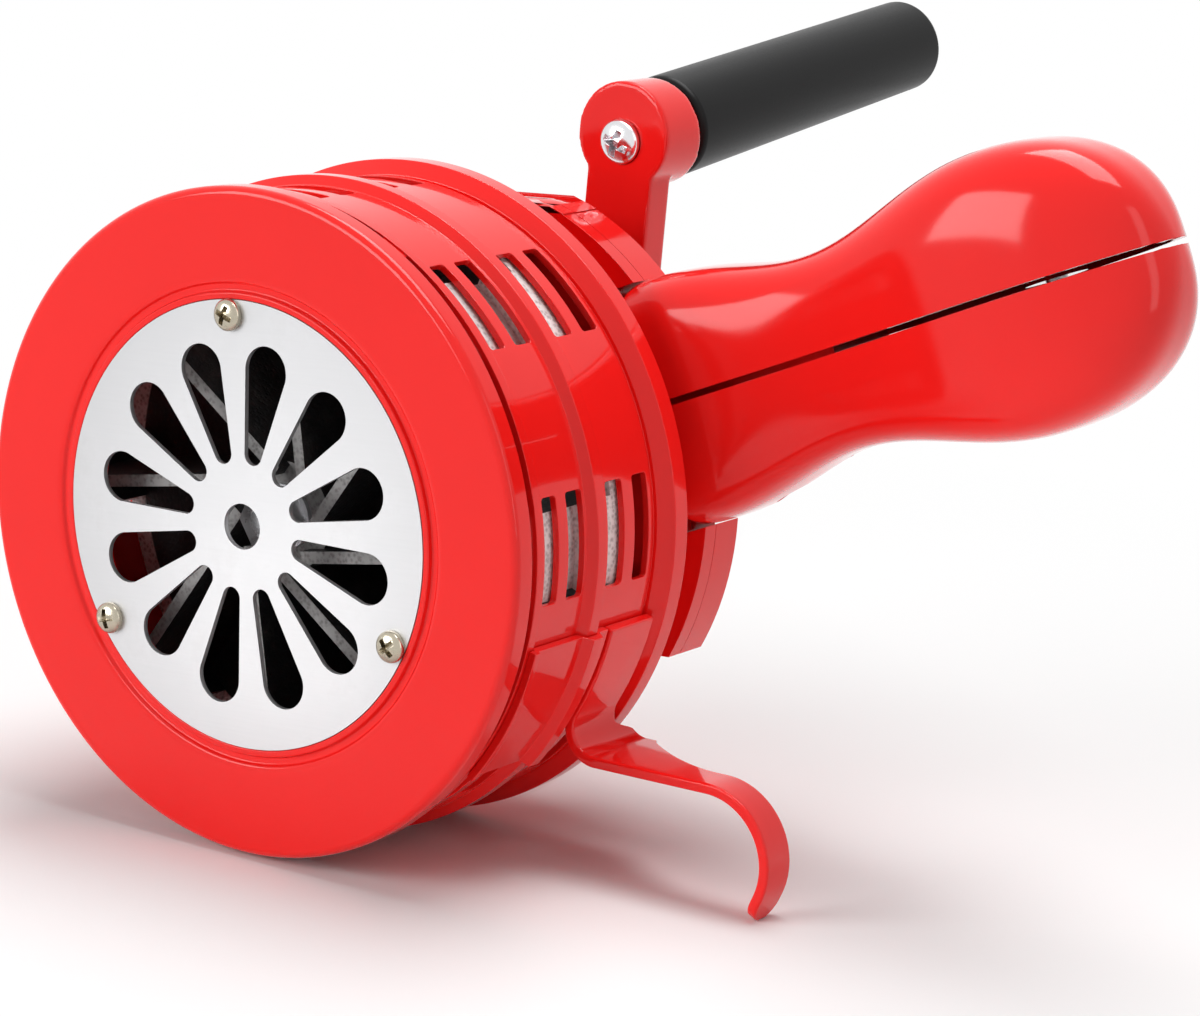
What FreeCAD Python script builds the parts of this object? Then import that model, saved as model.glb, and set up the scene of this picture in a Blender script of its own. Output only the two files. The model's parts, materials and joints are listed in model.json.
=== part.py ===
import FreeCAD, Part
import math
import os
from types import SimpleNamespace

import Sketcher

# Hand crank siren: a ported drum round a ported rotor, driven through a two stage
# step-up gear train by a side crank, with a two-shell hand grip and a hooked foot.
#
# The frame: the siren's axis is Y. The front ring's flat face is at Y = 0 and the
# grille looks along -Y; +X is to the right seen from the front and +Z is up. A
# direction round the axis is a clock angle, in degrees clockwise from the top seen
# from the front. All lengths are millimetres.

SIZES = {
    # Fits
    "run_gap": 0.05,
    "seat_gap": 0.1,
    "press_gap": 0.02,
    "rotor_gap": 0.5,
    # Front ring, measured from the drum's skin and from the grille's rim
    "ring_overhang": 1.8,
    "ring_depth": 4.6,
    "ring_plate_thickness": 2.2,
    "ring_skirt_wall": 1.3,
    "ring_edge_round": 1.3,
    "ledge_width": 5.2,
    "ledge_thickness": 2.4,
    "lip_width": 1.1,
    "lip_slope_width": 0.28,
    "groove_width": 1.5,
    "groove_depth": 0.9,
    "groove_step_width": 0.35,
    "groove_step_depth": 0.3,
    "groove_margin_width": 1.5,
    # Grille
    "grille_radius": 40.2,
    "grille_thickness": 1.0,
    "grille_clock": -2.6,
    "petal_count": 12,
    "petal_margin_width": 7.0,
    "petal_outer_radius": 4.6,
    "petal_inner_place": 13.4,
    "petal_inner_radius": 1.95,
    "grille_hole_radius": 4.1,
    "grille_screw_count": 3,
    "grille_screw_inset": 2.65,
    # Stator drum, from its front rim through its port rows and bead to its rear wall
    "drum_radius": 58.2,
    "drum_wall": 1.3,
    "drum_front_place": 7.5,
    "rim_proud": 0.7,
    "rim_width": 2.0,
    "port_count": 8,
    "port_angle": 18.5,
    "port_depth": 12.0,
    "port_a_gap": 1.2,
    "port_a_width": 4.0,
    "port_b_gap": 2.9,
    "port_b_width": 4.6,
    "bead_gap": 0.6,
    "bead_width": 5.2,
    "bead_proud": 1.7,
    "bead_slope_width": 1.2,
    "port_c_gap": 1.3,
    "port_c_width": 4.9,
    "port_d_gap": 3.2,
    "port_d_width": 4.3,
    "rear_groove_gap": 1.1,
    "rear_groove_width": 1.4,
    "rear_groove_depth": 0.7,
    "rear_wall_gap": 1.3,
    "rear_wall": 3.0,
    "spigot_depth": 4.0,
    "flange_proud": 2.65,
    "flange_width": 3.8,
    "drum_edge_round": 0.7,
    "drum_boss_radius": 10.5,
    "tab_count": 3,
    "tab_clock": 30.0,
    "tab_width": 6.0,
    "tab_thickness": 1.4,
    # Foot: a curved plate and a hook strip on the drum's lower right
    "foot_clock": 106.5,
    "foot_angle": 27.0,
    "foot_plate_thickness": 1.4,
    "foot_plate_lap": 2.6,
    "hook_thickness": 2.0,
    "hook_gap": 0.4,
    "hook_wrap_angle": 17.5,
    "hook_wrap_width": 13.0,
    "hook_root_width": 17.6,
    "hook_notch_gap": 3.4,
    "hook_shoulder_length": 3.0,
    "hook_taper_length": 22.0,
    "hook_taper_power": 1.75,
    "hook_root_radius": 5.5,
    "hook_straight_length": 23.8,
    "hook_slope_angle": 2.6,
    "hook_tip_radius": 12.5,
    "hook_tip_angle": 115.0,
    "hook_tip_length": 4.0,
    "hook_tip_width": 7.4,
    # Rotor
    "rotor_front_gap": 1.8,
    "rotor_back_gap": 7.0,
    "rotor_wall": 4.0,
    "rotor_plate_thickness": 3.0,
    "rotor_hub_radius": 10.0,
    "rotor_hub_inset": 6.8,
    "rotor_clock": 1.5,
    "land_angle": 16.0,
    "land_groove_inset": 11.2,
    "land_groove_width": 7.4,
    "land_groove_depth": 1.4,
    "vane_count": 8,
    "vane_offset": 7.0,
    "vane_thickness": 2.2,
    "vane_inset": 3.8,
    # Rotor shaft and its bushes
    "shaft_radius": 4.0,
    "shaft_thread_radius": 3.0,
    "shaft_chamfer": 0.6,
    "shaft_tail_radius": 2.5,
    "bush_wall": 2.4,
    "front_bush_length": 7.0,
    "rotor_nut_width": 10.0,
    "rotor_nut_height": 5.0,
    "rotor_washer_radius": 6.0,
    "washer_thickness": 1.0,
    "spacer_radius": 6.0,
    # Gears
    "gear_module": 0.8,
    "pressure_angle": 25.0,
    "gear_backlash_gap": 0.1,
    "gear_depth_gap": 0.2,
    "crank_gear_teeth": 60,
    "idler_pinion_teeth": 12,
    "idler_gear_teeth": 36,
    "rotor_pinion_teeth": 12,
    "rotor_pinion_gap": 2.0,
    "rotor_pinion_width": 6.0,
    "idler_gear_width": 5.0,
    "crank_gear_gap": 3.0,
    "crank_gear_width": 5.0,
    "idler_pin_radius": 2.0,
    "idler_sleeve_radius": 3.5,
    "gear_hole_count": 6,
    "gear_hole_place": 14.5,
    "gear_hole_radius": 4.0,
    "crank_offset": 13.7,
    # Gear housing, its cover and the bearing bridge, built out from the gears
    "housing_wall": 3.0,
    "spigot_inset": 2.6,
    "grip_wall_gap": 4.5,
    "grip_recess_depth": 4.0,
    "neck_wall": 4.0,
    "neck_flat_inset": 2.1,
    "gear_rim_proud": 6.3,
    "gear_rim_lap": 1.6,
    "gear_rim_width": 3.6,
    "cover_gap": 1.1,
    "cover_edge_round": 1.6,
    "top_flat_inset": 3.8,
    "bottom_flat_place": 29.5,
    "outline_corner_radius": 4.0,
    "cover_boss_radius": 4.8,
    "cover_boss_depth": 9.0,
    "cover_screw_inset": 5.9,
    "pin_seat_depth": 1.2,
    "crank_boss_radius": 11.0,
    "crank_boss_height": 6.5,
    "bridge_gap": 1.4,
    "bridge_thickness": 3.0,
    "bridge_edge_gap": 5.0,
    "bridge_side_gap": 0.6,
    "post_radius": 4.0,
    "post_inset": 4.4,
    # Crank
    "crank_shaft_radius": 5.0,
    "crank_length": 58.6,
    "crank_lean_angle": 6.6,
    "thrust_gap": 0.9,
    "arm_hub_length": 8.1,
    "arm_thickness": 7.0,
    "arm_width": 14.6,
    "arm_edge_round": 1.0,
    "eye_radius": 10.2,
    "spot_depth": 0.6,
    "eye_depth": 12.0,
    "crank_washer_radius": 8.0,
    "knob_axis_drop": 1.2,
    "knob_splay_angle": 7.0,
    "knob_length": 88.6,
    "knob_near_radius": 9.9,
    "knob_far_radius": 9.3,
    "knob_edge_round": 1.5,
    "knob_gap": 0.4,
    "knob_pin_radius": 4.0,
    "pin_head_radius": 5.6,
    "pin_head_length": 4.0,
    "pin_head_depth": 9.0,
    "knob_cap_length": 3.0,
    "knob_washer_thickness": 0.8,
    "knob_washer_radius": 8.6,
    # Hand grip, from its base beside the housing to its round end
    "grip_clock": 70.0,
    "grip_setback_length": 20.0,
    "grip_base_length": 8.0,
    "grip_neck_length": 32.0,
    "grip_swell_length": 39.0,
    "grip_end_length": 30.3,
    "grip_base_half_height": 23.0,
    "grip_waist_half_height": 17.9,
    "grip_bulb_half_height": 25.2,
    "grip_base_depth": 15.5,
    "grip_waist_depth": 12.6,
    "grip_bulb_depth": 16.5,
    "grip_corner_radius": 6.0,
    "grip_squareness": 2.7,
    "grip_end_power": 2.2,
    "grip_nose_gap": 0.15,
    "grip_wall": 2.2,
    "grip_seam_gap": 1.2,
    "lug_half_height": 5.0,
    "lug_width": 19.0,
    "lug_length": 44.0,
    "grip_boss_radius": 5.6,
    "grip_screw_seat_depth": 13.0,
    "grip_screw_offset": 5.5,
    "grip_near_screw_place": 18.0,
    "grip_middle_screw_place": 36.0,
    "grip_far_screw_place": 82.0,
    # Screws; a share is of the head's radius or height, or of the shank's radius
    "small_screw_radius": 1.5,
    "small_head_radius": 2.85,
    "small_head_height": 2.1,
    "main_screw_radius": 2.0,
    "main_head_radius": 3.8,
    "main_head_height": 2.8,
    "knob_screw_radius": 2.5,
    "knob_head_radius": 4.3,
    "knob_head_height": 3.2,
    "head_crown_share": 0.55,
    "head_dome_share": 0.86,
    "head_dome_rise": 0.78,
    "head_edge_rise": 0.4,
    "screw_tip_share": 0.4,
    "recess_reach_share": 0.62,
    "recess_half_share": 0.13,
    "recess_depth_share": 0.6,
    "grille_screw_length": 3.3,
    "cover_screw_length": 9.0,
    "housing_screw_length": 7.5,
    "bridge_screw_length": 8.0,
    "grip_screw_length": 27.0,
    "knob_screw_length": 24.0,
    "crank_screw_length": 12.0,
}

# How finely the curved outlines are drawn, and how close two places count as one
TAPER_STEPS = 8
ARCH_STEPS = 12
SWELL_STATIONS = 8
END_STATIONS = 7
CORNER_SHARES = (0, 0.12, 0.4, 1)
TOLERANCE = 1e-4

# Clock angle of the +X direction
X_CLOCK = 90

EXPORTED = []
doc = FreeCAD.newDocument("hand_crank_siren")


class Size:
    """A number that also carries the spreadsheet expression it comes from."""

    def __init__(self, value, text):
        self.value = float(value)
        self.text = text

    def __float__(self):
        return self.value

    def __add__(self, other):
        other = as_size(other)
        return Size(self.value + other.value, f"({self.text} + {other.text})")

    def __sub__(self, other):
        other = as_size(other)
        return Size(self.value - other.value, f"({self.text} - {other.text})")

    def __mul__(self, other):
        other = as_size(other)
        return Size(self.value * other.value, f"({self.text} * {other.text})")

    def __truediv__(self, other):
        other = as_size(other)
        return Size(self.value / other.value, f"({self.text} / {other.text})")

    def __neg__(self):
        return Size(-self.value, f"(-1 * {self.text})")

    def __radd__(self, other):
        return as_size(other) + self

    def __rsub__(self, other):
        return as_size(other) - self

    def __rmul__(self, other):
        return as_size(other) * self

    def __rtruediv__(self, other):
        return as_size(other) / self


def as_size(number):
    """Wrap a plain number, and leave a Size as it is."""
    if isinstance(number, Size):
        return number
    return Size(number, f"({float(number):.9g})")


def read_sheet(sizes):
    """Write the driving sizes to the spreadsheet and return them by name."""
    sheet = doc.addObject("Spreadsheet::Sheet", "Sizes")
    for row, (name, value) in enumerate(sizes.items(), start=1):
        sheet.set(f"A{row}", name)
        sheet.set(f"B{row}", str(value))
        sheet.setAlias(f"B{row}", name)
    doc.recompute()
    return SimpleNamespace(**{name: Size(value, f"Sizes.{name}") for name, value in sizes.items()})


def sine(angle):
    """Sine of an angle in degrees."""
    angle = as_size(angle)
    return Size(math.sin(math.radians(angle.value)), f"sin({angle.text} * 1 deg)")


def cosine(angle):
    """Cosine of an angle in degrees."""
    angle = as_size(angle)
    return Size(math.cos(math.radians(angle.value)), f"cos({angle.text} * 1 deg)")


def at_clock(radius, clock):
    """X and Z of a point at a radius and a clock angle round the siren's axis."""
    return radius * sine(clock), radius * cosine(clock)


def bind(thing, prop, size):
    """Tie a property to the spreadsheet."""
    thing.setExpression(prop, as_size(size).text)


# ---------------------------------------------------------------- document helpers


def new_body(label):
    body = doc.addObject("PartDesign::Body", label)
    body.Label = label
    return body


def new_sketch(body, name, plane, lift=None, turn=0):
    """A sketch on one of the body's own origin planes, lifted along and turned about its normal."""
    sketch = body.newObject("Sketcher::SketchObject", f"{body.Name}_{name}")
    support = next(item for item in body.Origin.OriginFeatures if item.Role == plane)
    sketch.AttachmentSupport = [(support, "")]
    sketch.MapMode = "FlatFace"
    sketch.AttachmentOffset = FreeCAD.Placement(
        FreeCAD.Vector(), FreeCAD.Rotation(FreeCAD.Vector(0, 0, 1), turn)
    )
    if lift is not None:
        bind(sketch, "AttachmentOffset.Base.z", lift)
    return sketch


def fix_point(sketch, geometry, end, place):
    """Fix a point of a sketch's geometry at its distances from the origin."""
    for kind, distance in zip(("DistanceX", "DistanceY"), place):
        distance = as_size(distance)
        held = Sketcher.Constraint(kind, -1, 1, geometry, end, distance.value)
        number = sketch.addConstraint(held)
        bind(sketch, f"Constraints[{number}]", distance)


def draw_outline(sketch, corners):
    """A closed outline of straight edges through the corners."""
    corners = [(as_size(across), as_size(along)) for across, along in corners]
    first = sketch.GeometryCount
    points = [FreeCAD.Vector(across.value, along.value, 0) for across, along in corners]
    count = len(points)
    for index in range(count):
        sketch.addGeometry(Part.LineSegment(points[index], points[(index + 1) % count]), False)
    for index in range(count):
        following = first + (index + 1) % count
        sketch.addConstraint(Sketcher.Constraint("Coincident", first + index, 2, following, 1))
    for index, corner in enumerate(corners):
        fix_point(sketch, first + index, 1, corner)


def draw_circle(sketch, place, radius):
    """A circle of a set radius round a set place."""
    across, along = (as_size(value) for value in place)
    radius = as_size(radius)
    centre = FreeCAD.Vector(across.value, along.value, 0)
    circle = sketch.addGeometry(Part.Circle(centre, FreeCAD.Vector(0, 0, 1), radius.value), False)
    number = sketch.addConstraint(Sketcher.Constraint("Radius", circle, radius.value))
    bind(sketch, f"Constraints[{number}]", radius)
    fix_point(sketch, circle, 3, (across, along))


def revolve(body, corners, angle=360):
    """Turn an outline given as (radius, Y) corners round the Y axis."""
    sketch = new_sketch(body, "profile", "XY_Plane")
    draw_outline(sketch, corners)
    turned = body.newObject("PartDesign::Revolution", f"{body.Name}_turned")
    turned.Profile = sketch
    turned.ReferenceAxis = (sketch, ["V_Axis"])
    bind(turned, "Angle", angle)
    doc.recompute()
    return turned


def pad(body, sketch, length, backwards=True):
    """Extrude a sketch; backwards runs against the sketch plane's normal."""
    feature = body.newObject("PartDesign::Pad", f"{sketch.Name}_pad")
    feature.Profile = sketch
    bind(feature, "Length", length)
    feature.Reversed = backwards
    doc.recompute()
    return feature


def pocket(body, sketch, length, backwards=False):
    """Cut a sketch away; the cut must take something off the body."""
    before = body.Shape.Volume
    feature = body.newObject("PartDesign::Pocket", f"{sketch.Name}_cut")
    feature.Profile = sketch
    bind(feature, "Length", length)
    feature.Reversed = backwards
    doc.recompute()
    if not body.Shape.Volume < before:
        raise RuntimeError(f"{sketch.Name} cuts nothing")
    return feature


def repeat_round(body, feature, count):
    """Repeat a feature evenly round the siren's axis."""
    pattern = body.newObject("PartDesign::PolarPattern", f"{feature.Name}_round")
    pattern.Originals = [feature]
    axis = next(item for item in body.Origin.OriginFeatures if item.Role == "Y_Axis")
    pattern.Axis = (axis, [""])
    pattern.Angle = 360
    bind(pattern, "Occurrences", count)
    body.Tip = pattern
    doc.recompute()
    return pattern


def round_edges(body, radius, wanted):
    """Fillet the edges of the body's tip that the test picks."""
    tip = body.Tip
    names = [f"Edge{i}" for i, edge in enumerate(tip.Shape.Edges, start=1) if wanted(edge)]
    if not names:
        raise RuntimeError(f"{body.Label} has no such edge to round")
    feature = body.newObject("PartDesign::Fillet", f"{body.Name}_round")
    feature.Base = (tip, names)
    bind(feature, "Radius", radius)
    doc.recompute()
    return feature


def is_circle(edge, radius, along):
    """Whether an edge is a circle round the Y axis of a radius at a Y place."""
    curve = edge.Curve
    if not isinstance(curve, Part.Circle):
        return False
    return math.isclose(curve.Radius, float(radius), abs_tol=TOLERANCE) and math.isclose(
        curve.Center.y, float(along), abs_tol=TOLERANCE
    )


def turned_body(label, corners, angle=360):
    """A body made by one revolution about the Y axis."""
    body = new_body(label)
    revolve(body, corners, angle)
    return body


def tube_corners(inner, outer, start, end):
    return [(inner, start), (outer, start), (outer, end), (inner, end)]


def cylinder(name, radius, start, end, place=(0, 0)):
    """A cylinder along +Y from start to end, round a place in X and Z."""
    solid = doc.addObject("Part::Cylinder", name)
    solid.Placement.Rotation = FreeCAD.Rotation(FreeCAD.Vector(1, 0, 0), -90)
    bind(solid, "Radius", radius)
    bind(solid, "Height", end - start)
    bind(solid, "Placement.Base.x", place[0])
    bind(solid, "Placement.Base.y", start)
    bind(solid, "Placement.Base.z", place[1])
    return solid


def box(name, low, high):
    """A box between its lowest and highest corners."""
    solid = doc.addObject("Part::Box", name)
    for side, axis, bottom, top in zip(("Length", "Width", "Height"), "xyz", low, high):
        bind(solid, side, top - bottom)
        bind(solid, f"Placement.Base.{axis}", bottom)
    return solid


def radial_box(name, reach, along, half_height, tilt):
    """A box whose length runs out from the axis at a clock angle.

    reach is its nearest and furthest distance from the axis, along its two Y places.
    """
    solid = doc.addObject("Part::Box", name)
    bind(solid, "Length", reach[1] - reach[0])
    bind(solid, "Width", along[1] - along[0])
    bind(solid, "Height", 2 * half_height)
    turn = FreeCAD.Rotation(FreeCAD.Vector(0, 1, 0), float(tilt) - X_CLOCK)
    solid.Placement.Rotation = turn
    out_x, out_z = at_clock(reach[0], tilt)
    up_x, up_z = at_clock(half_height, tilt - X_CLOCK)
    bind(solid, "Placement.Base.x", out_x - up_x)
    bind(solid, "Placement.Base.y", along[0])
    bind(solid, "Placement.Base.z", out_z - up_z)
    return solid


def joined(label, parts):
    fuse = doc.addObject("Part::MultiFuse", label)
    fuse.Shapes = parts
    fuse.Refine = True
    return fuse


def shared(label, parts):
    common = doc.addObject("Part::MultiCommon", label)
    common.Shapes = parts
    return common


def trimmed(label, base, tools):
    """Cut the tools away from the base; the cut must take something off."""
    tool = tools[0]
    if len(tools) > 1:
        tool = joined(f"{label}_tools", tools)
    cut = doc.addObject("Part::Cut", label)
    cut.Base = base
    cut.Tool = tool
    cut.Refine = True
    doc.recompute()
    if not cut.Shape.Volume < base.Shape.Volume:
        raise RuntimeError(f"{label} loses nothing")
    return cut


def scripted(label, shape, placement=None):
    """A feature whose shape is worked out in this script from the same sizes."""
    feature = doc.addObject("Part::Feature", label)
    feature.Shape = shape
    if placement is not None:
        feature.Placement = placement
    return feature


def keep(feature, label):
    """Name a finished sub-part, so that it is checked and exported."""
    feature.Label = label
    EXPORTED.append(feature)
    return feature


def vector(x, y, z):
    return FreeCAD.Vector(float(x), float(y), float(z))


def clock_turn(clock):
    """A turn about the siren's axis by a clock angle."""
    return FreeCAD.Rotation(FreeCAD.Vector(0, 1, 0), float(clock))


def copies(label, pattern, placements):
    """Identical solids at the given placements, as one sub-part."""
    solids = []
    for placement in placements:
        solid = pattern.Shape.copy()
        solid.Placement = placement * pattern.Placement
        solids.append(solid)
    return keep(scripted(label, Part.makeCompound(solids)), label)


d = read_sheet(SIZES)

# Radii that follow the drum, and the grille's rim
RING_RADIUS = d.drum_radius + d.ring_overhang
FLANGE_RADIUS = d.drum_radius + d.flange_proud
SKIN_RADIUS = d.drum_radius + d.seat_gap
DRUM_BORE = d.drum_radius - d.drum_wall
SPIGOT_RADIUS = d.drum_radius - d.spigot_inset
ROTOR_RADIUS = DRUM_BORE - d.rotor_gap
GRILLE_BACK = d.grille_thickness
LEDGE_BACK = d.grille_thickness + d.ledge_thickness
GRILLE_SCREW_PLACE = d.grille_radius - d.grille_screw_inset

# Places along the axis, from the drum's front rim to the back of the crank
RIM_END = d.drum_front_place + d.rim_width
PORT_A_START = RIM_END + d.port_a_gap
PORT_B_START = PORT_A_START + d.port_a_width + d.port_b_gap
BEAD_START = PORT_B_START + d.port_b_width + d.bead_gap
BEAD_END = BEAD_START + d.bead_width
PORT_C_START = BEAD_END + d.port_c_gap
PORT_D_START = PORT_C_START + d.port_c_width + d.port_d_gap
PORTS_END = PORT_D_START + d.port_d_width
REAR_GROOVE_START = PORTS_END + d.rear_groove_gap
REAR_WALL_START = PORTS_END + d.rear_wall_gap
REAR_WALL_END = REAR_WALL_START + d.rear_wall
DRUM_BACK = REAR_WALL_END + d.spigot_depth
ROTOR_FRONT = LEDGE_BACK + d.rotor_front_gap
ROTOR_BACK = REAR_WALL_START - d.rotor_back_gap
ROTOR_HUB_FRONT = ROTOR_FRONT + d.rotor_hub_inset
FRONT_BUSH_START = REAR_WALL_START - (d.front_bush_length - d.rear_wall) / 2
FRONT_BUSH_RADIUS = d.shaft_radius + d.bush_wall
ROTOR_PINION_START = REAR_WALL_END + d.housing_wall + d.rotor_pinion_gap
BRIDGE_START = ROTOR_PINION_START + d.rotor_pinion_width + d.bridge_gap
BRIDGE_END = BRIDGE_START + d.bridge_thickness
CRANK_GEAR_START = BRIDGE_END + d.crank_gear_gap
GEAR_RIM_START = CRANK_GEAR_START - d.gear_rim_lap
COVER_START = GEAR_RIM_START + d.gear_rim_width
COVER_INSIDE = CRANK_GEAR_START + d.crank_gear_width + d.cover_gap
COVER_BACK = COVER_INSIDE + d.housing_wall
CRANK_BOSS_END = COVER_BACK + d.crank_boss_height
ARM_HUB_FRONT = CRANK_BOSS_END + d.thrust_gap
ARM_FRONT = ARM_HUB_FRONT + d.arm_hub_length

# The gear train, and the housing and grip that are built out from it
CRANK_X, CRANK_Z = at_clock(d.crank_offset, d.grip_clock)
PITCH = d.gear_module / 2
IDLER_TO_CRANK = PITCH * (d.crank_gear_teeth + d.idler_pinion_teeth)
IDLER_TO_ROTOR = PITCH * (d.idler_gear_teeth + d.rotor_pinion_teeth)
CRANK_GEAR_REACH = d.crank_offset + PITCH * d.crank_gear_teeth + d.gear_module
WALL_BEHIND_GRIP = CRANK_GEAR_REACH + d.grip_wall_gap
GRIP_START = WALL_BEHIND_GRIP + d.housing_wall
NECK_RADIUS = GRIP_START + d.grip_recess_depth
CAVITY_RADIUS = NECK_RADIUS - d.neck_wall
GEAR_RIM_RADIUS = NECK_RADIUS + d.gear_rim_proud
TOP_FLAT = GEAR_RIM_RADIUS - d.top_flat_inset
COVER_SCREW_PLACE = GEAR_RIM_RADIUS - d.cover_screw_inset
BRIDGE_RADIUS = CAVITY_RADIUS - d.bridge_edge_gap
POST_PLACE = BRIDGE_RADIUS - d.post_inset
GRIP_CENTRE = DRUM_BACK + d.grip_setback_length
GRIP_SHOULDER = GRIP_START + d.grip_base_length
GRIP_WAIST = GRIP_SHOULDER + d.grip_neck_length
GRIP_CREST = GRIP_WAIST + d.grip_swell_length
GRIP_END = GRIP_CREST + d.grip_end_length
GRIP_SCREW_ALONG = GRIP_CENTRE + d.grip_screw_offset
NEAR_SCREW = GRIP_START + d.grip_near_screw_place
MIDDLE_SCREW = GRIP_START + d.grip_middle_screw_place
FAR_SCREW = GRIP_START + d.grip_far_screw_place
LUG_FRONT = GRIP_CENTRE - d.lug_width / 2
LUG_END = GRIP_START + d.lug_length


def idler_clock():
    """Clock angle of the idler, from the two centre distances."""
    offset, near, far = float(d.crank_offset), float(IDLER_TO_ROTOR), float(IDLER_TO_CRANK)
    corner = math.acos((offset**2 + near**2 - far**2) / (2 * offset * near))
    return float(d.grip_clock) - math.degrees(corner)


IDLER_CLOCK = idler_clock()
IDLER_X, IDLER_Z = at_clock(IDLER_TO_ROTOR, IDLER_CLOCK)
TAP_GAP = d.press_gap


# ---------------------------------------------------------------- screws


def pan_screw(name, shank, head, height, length):
    """A cross-recess pan head screw; its head's underside is at Y = 0, shank along +Y."""
    tip = d.screw_tip_share * shank
    body = turned_body(
        name,
        [
            (0, -height),
            (d.head_crown_share * head, -height),
            (d.head_dome_share * head, -d.head_dome_rise * height),
            (head, -d.head_edge_rise * height),
            (head, 0),
            (shank, 0),
            (shank, length - tip),
            (shank - tip, length),
            (0, length),
        ],
    )
    arm = d.recess_reach_share * head
    half = d.recess_half_share * head
    sketch = new_sketch(body, "recess", "XZ_Plane", height)
    draw_outline(
        sketch,
        [
            (half, half),
            (arm, half),
            (arm, -half),
            (half, -half),
            (half, -arm),
            (-half, -arm),
            (-half, -half),
            (-arm, -half),
            (-arm, half),
            (-half, half),
            (-half, arm),
            (half, arm),
        ],
    )
    pocket(body, sketch, d.recess_depth_share * height)
    return body


def ring_places(place, clocks, along):
    """Placements at clock angles round the axis, without turning the piece."""
    placements = []
    for clock in clocks:
        across, up = at_clock(place, clock)
        placements.append(FreeCAD.Placement(vector(across, along, up), FreeCAD.Rotation()))
    return placements


def facing_back(placement):
    """The same place with the screw's head towards +Y."""
    half_turn = FreeCAD.Rotation(FreeCAD.Vector(0, 0, 1), 180)
    return FreeCAD.Placement(placement.Base, half_turn)


# ---------------------------------------------------------------- front ring and grille


def make_front_ring():
    lip_start = d.grille_radius + d.seat_gap
    lip_end = lip_start + d.lip_width
    groove_end = lip_end + d.groove_width
    ledge_radius = d.grille_radius - d.ledge_width
    skirt_inside = RING_RADIUS - d.ring_skirt_wall
    body = turned_body(
        "front_ring",
        [
            (ledge_radius, GRILLE_BACK),
            (lip_start, GRILLE_BACK),
            (lip_start, 0),
            (lip_end, 0),
            (lip_end + d.lip_slope_width, d.groove_depth),
            (groove_end, d.groove_depth),
            (groove_end + d.groove_step_width, d.groove_step_depth),
            (groove_end + d.groove_margin_width, 0),
            (RING_RADIUS, 0),
            (RING_RADIUS, d.ring_depth),
            (skirt_inside, d.ring_depth),
            (skirt_inside, d.ring_plate_thickness),
            (d.grille_radius + d.ledge_thickness, d.ring_plate_thickness),
            (d.grille_radius, LEDGE_BACK),
            (ledge_radius, LEDGE_BACK),
        ],
    )
    round_edges(body, d.ring_edge_round, lambda edge: is_circle(edge, RING_RADIUS, 0))
    sketch = new_sketch(body, "tapping", "XZ_Plane")
    draw_circle(sketch, (0, GRILLE_SCREW_PLACE), d.small_screw_radius + TAP_GAP)
    tapping = pocket(body, sketch, LEDGE_BACK + d.seat_gap)
    repeat_round(body, tapping, d.grille_screw_count)
    body.Placement = FreeCAD.Placement(FreeCAD.Vector(), clock_turn(d.grille_clock))
    return keep(body, "front_ring")


def draw_petal(sketch):
    """Two arcs joined by their common outer tangents, along the sketch's Y axis."""
    small, large = d.petal_inner_radius, d.petal_outer_radius
    near, far = d.petal_inner_place, d.grille_radius - d.petal_margin_width - large
    lean = math.asin((large.value - small.value) / (far.value - near.value))
    up = FreeCAD.Vector(0, 0, 1)

    def arc(radius, centre, start, end):
        circle = Part.Circle(FreeCAD.Vector(0, centre.value, 0), up, radius.value)
        return sketch.addGeometry(Part.ArcOfCircle(circle, start, end), False)

    def side(sign):
        ends = [
            FreeCAD.Vector(
                sign * radius.value * math.cos(lean), centre.value - radius.value * math.sin(lean), 0
            )
            for radius, centre in ((small, near), (large, far))
        ]
        return sketch.addGeometry(Part.LineSegment(*ends), False)

    outer = arc(large, far, -lean, math.pi + lean)
    inner = arc(small, near, math.pi + lean, 2 * math.pi - lean)
    right = side(1)
    left = side(-1)
    for line, line_end, curve, curve_end in (
        (right, 2, outer, 1),
        (left, 2, outer, 2),
        (left, 1, inner, 1),
        (right, 1, inner, 2),
    ):
        sketch.addConstraint(Sketcher.Constraint("Tangent", line, line_end, curve, curve_end))
    for curve, radius, place in ((outer, large, far), (inner, small, near)):
        number = sketch.addConstraint(Sketcher.Constraint("Radius", curve, radius.value))
        bind(sketch, f"Constraints[{number}]", radius)
        fix_point(sketch, curve, 3, (0, place))


def make_grille():
    body = turned_body(
        "grille",
        tube_corners(d.grille_hole_radius, d.grille_radius, 0, d.grille_thickness),
    )
    sketch = new_sketch(body, "screw_hole", "XZ_Plane")
    draw_circle(sketch, (0, GRILLE_SCREW_PLACE), d.small_screw_radius + d.seat_gap)
    hole = pocket(body, sketch, d.grille_thickness)
    repeat_round(body, hole, d.grille_screw_count)
    half_pitch = 180 / float(d.petal_count)
    sketch = new_sketch(body, "petal", "XZ_Plane", turn=half_pitch)
    draw_petal(sketch)
    petal = pocket(body, sketch, d.grille_thickness)
    repeat_round(body, petal, d.petal_count)
    body.Placement = FreeCAD.Placement(FreeCAD.Vector(), clock_turn(d.grille_clock))
    return keep(body, "grille")


def make_grille_screws():
    screw = pan_screw(
        "grille_screw",
        d.small_screw_radius,
        d.small_head_radius,
        d.small_head_height,
        d.grille_screw_length,
    )
    count = int(float(d.grille_screw_count))
    clocks = [float(d.grille_clock) + 360 * index / count for index in range(count)]
    return copies("grille_screws", screw, ring_places(GRILLE_SCREW_PLACE, clocks, 0))


# ---------------------------------------------------------------- stator drum and foot

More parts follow.
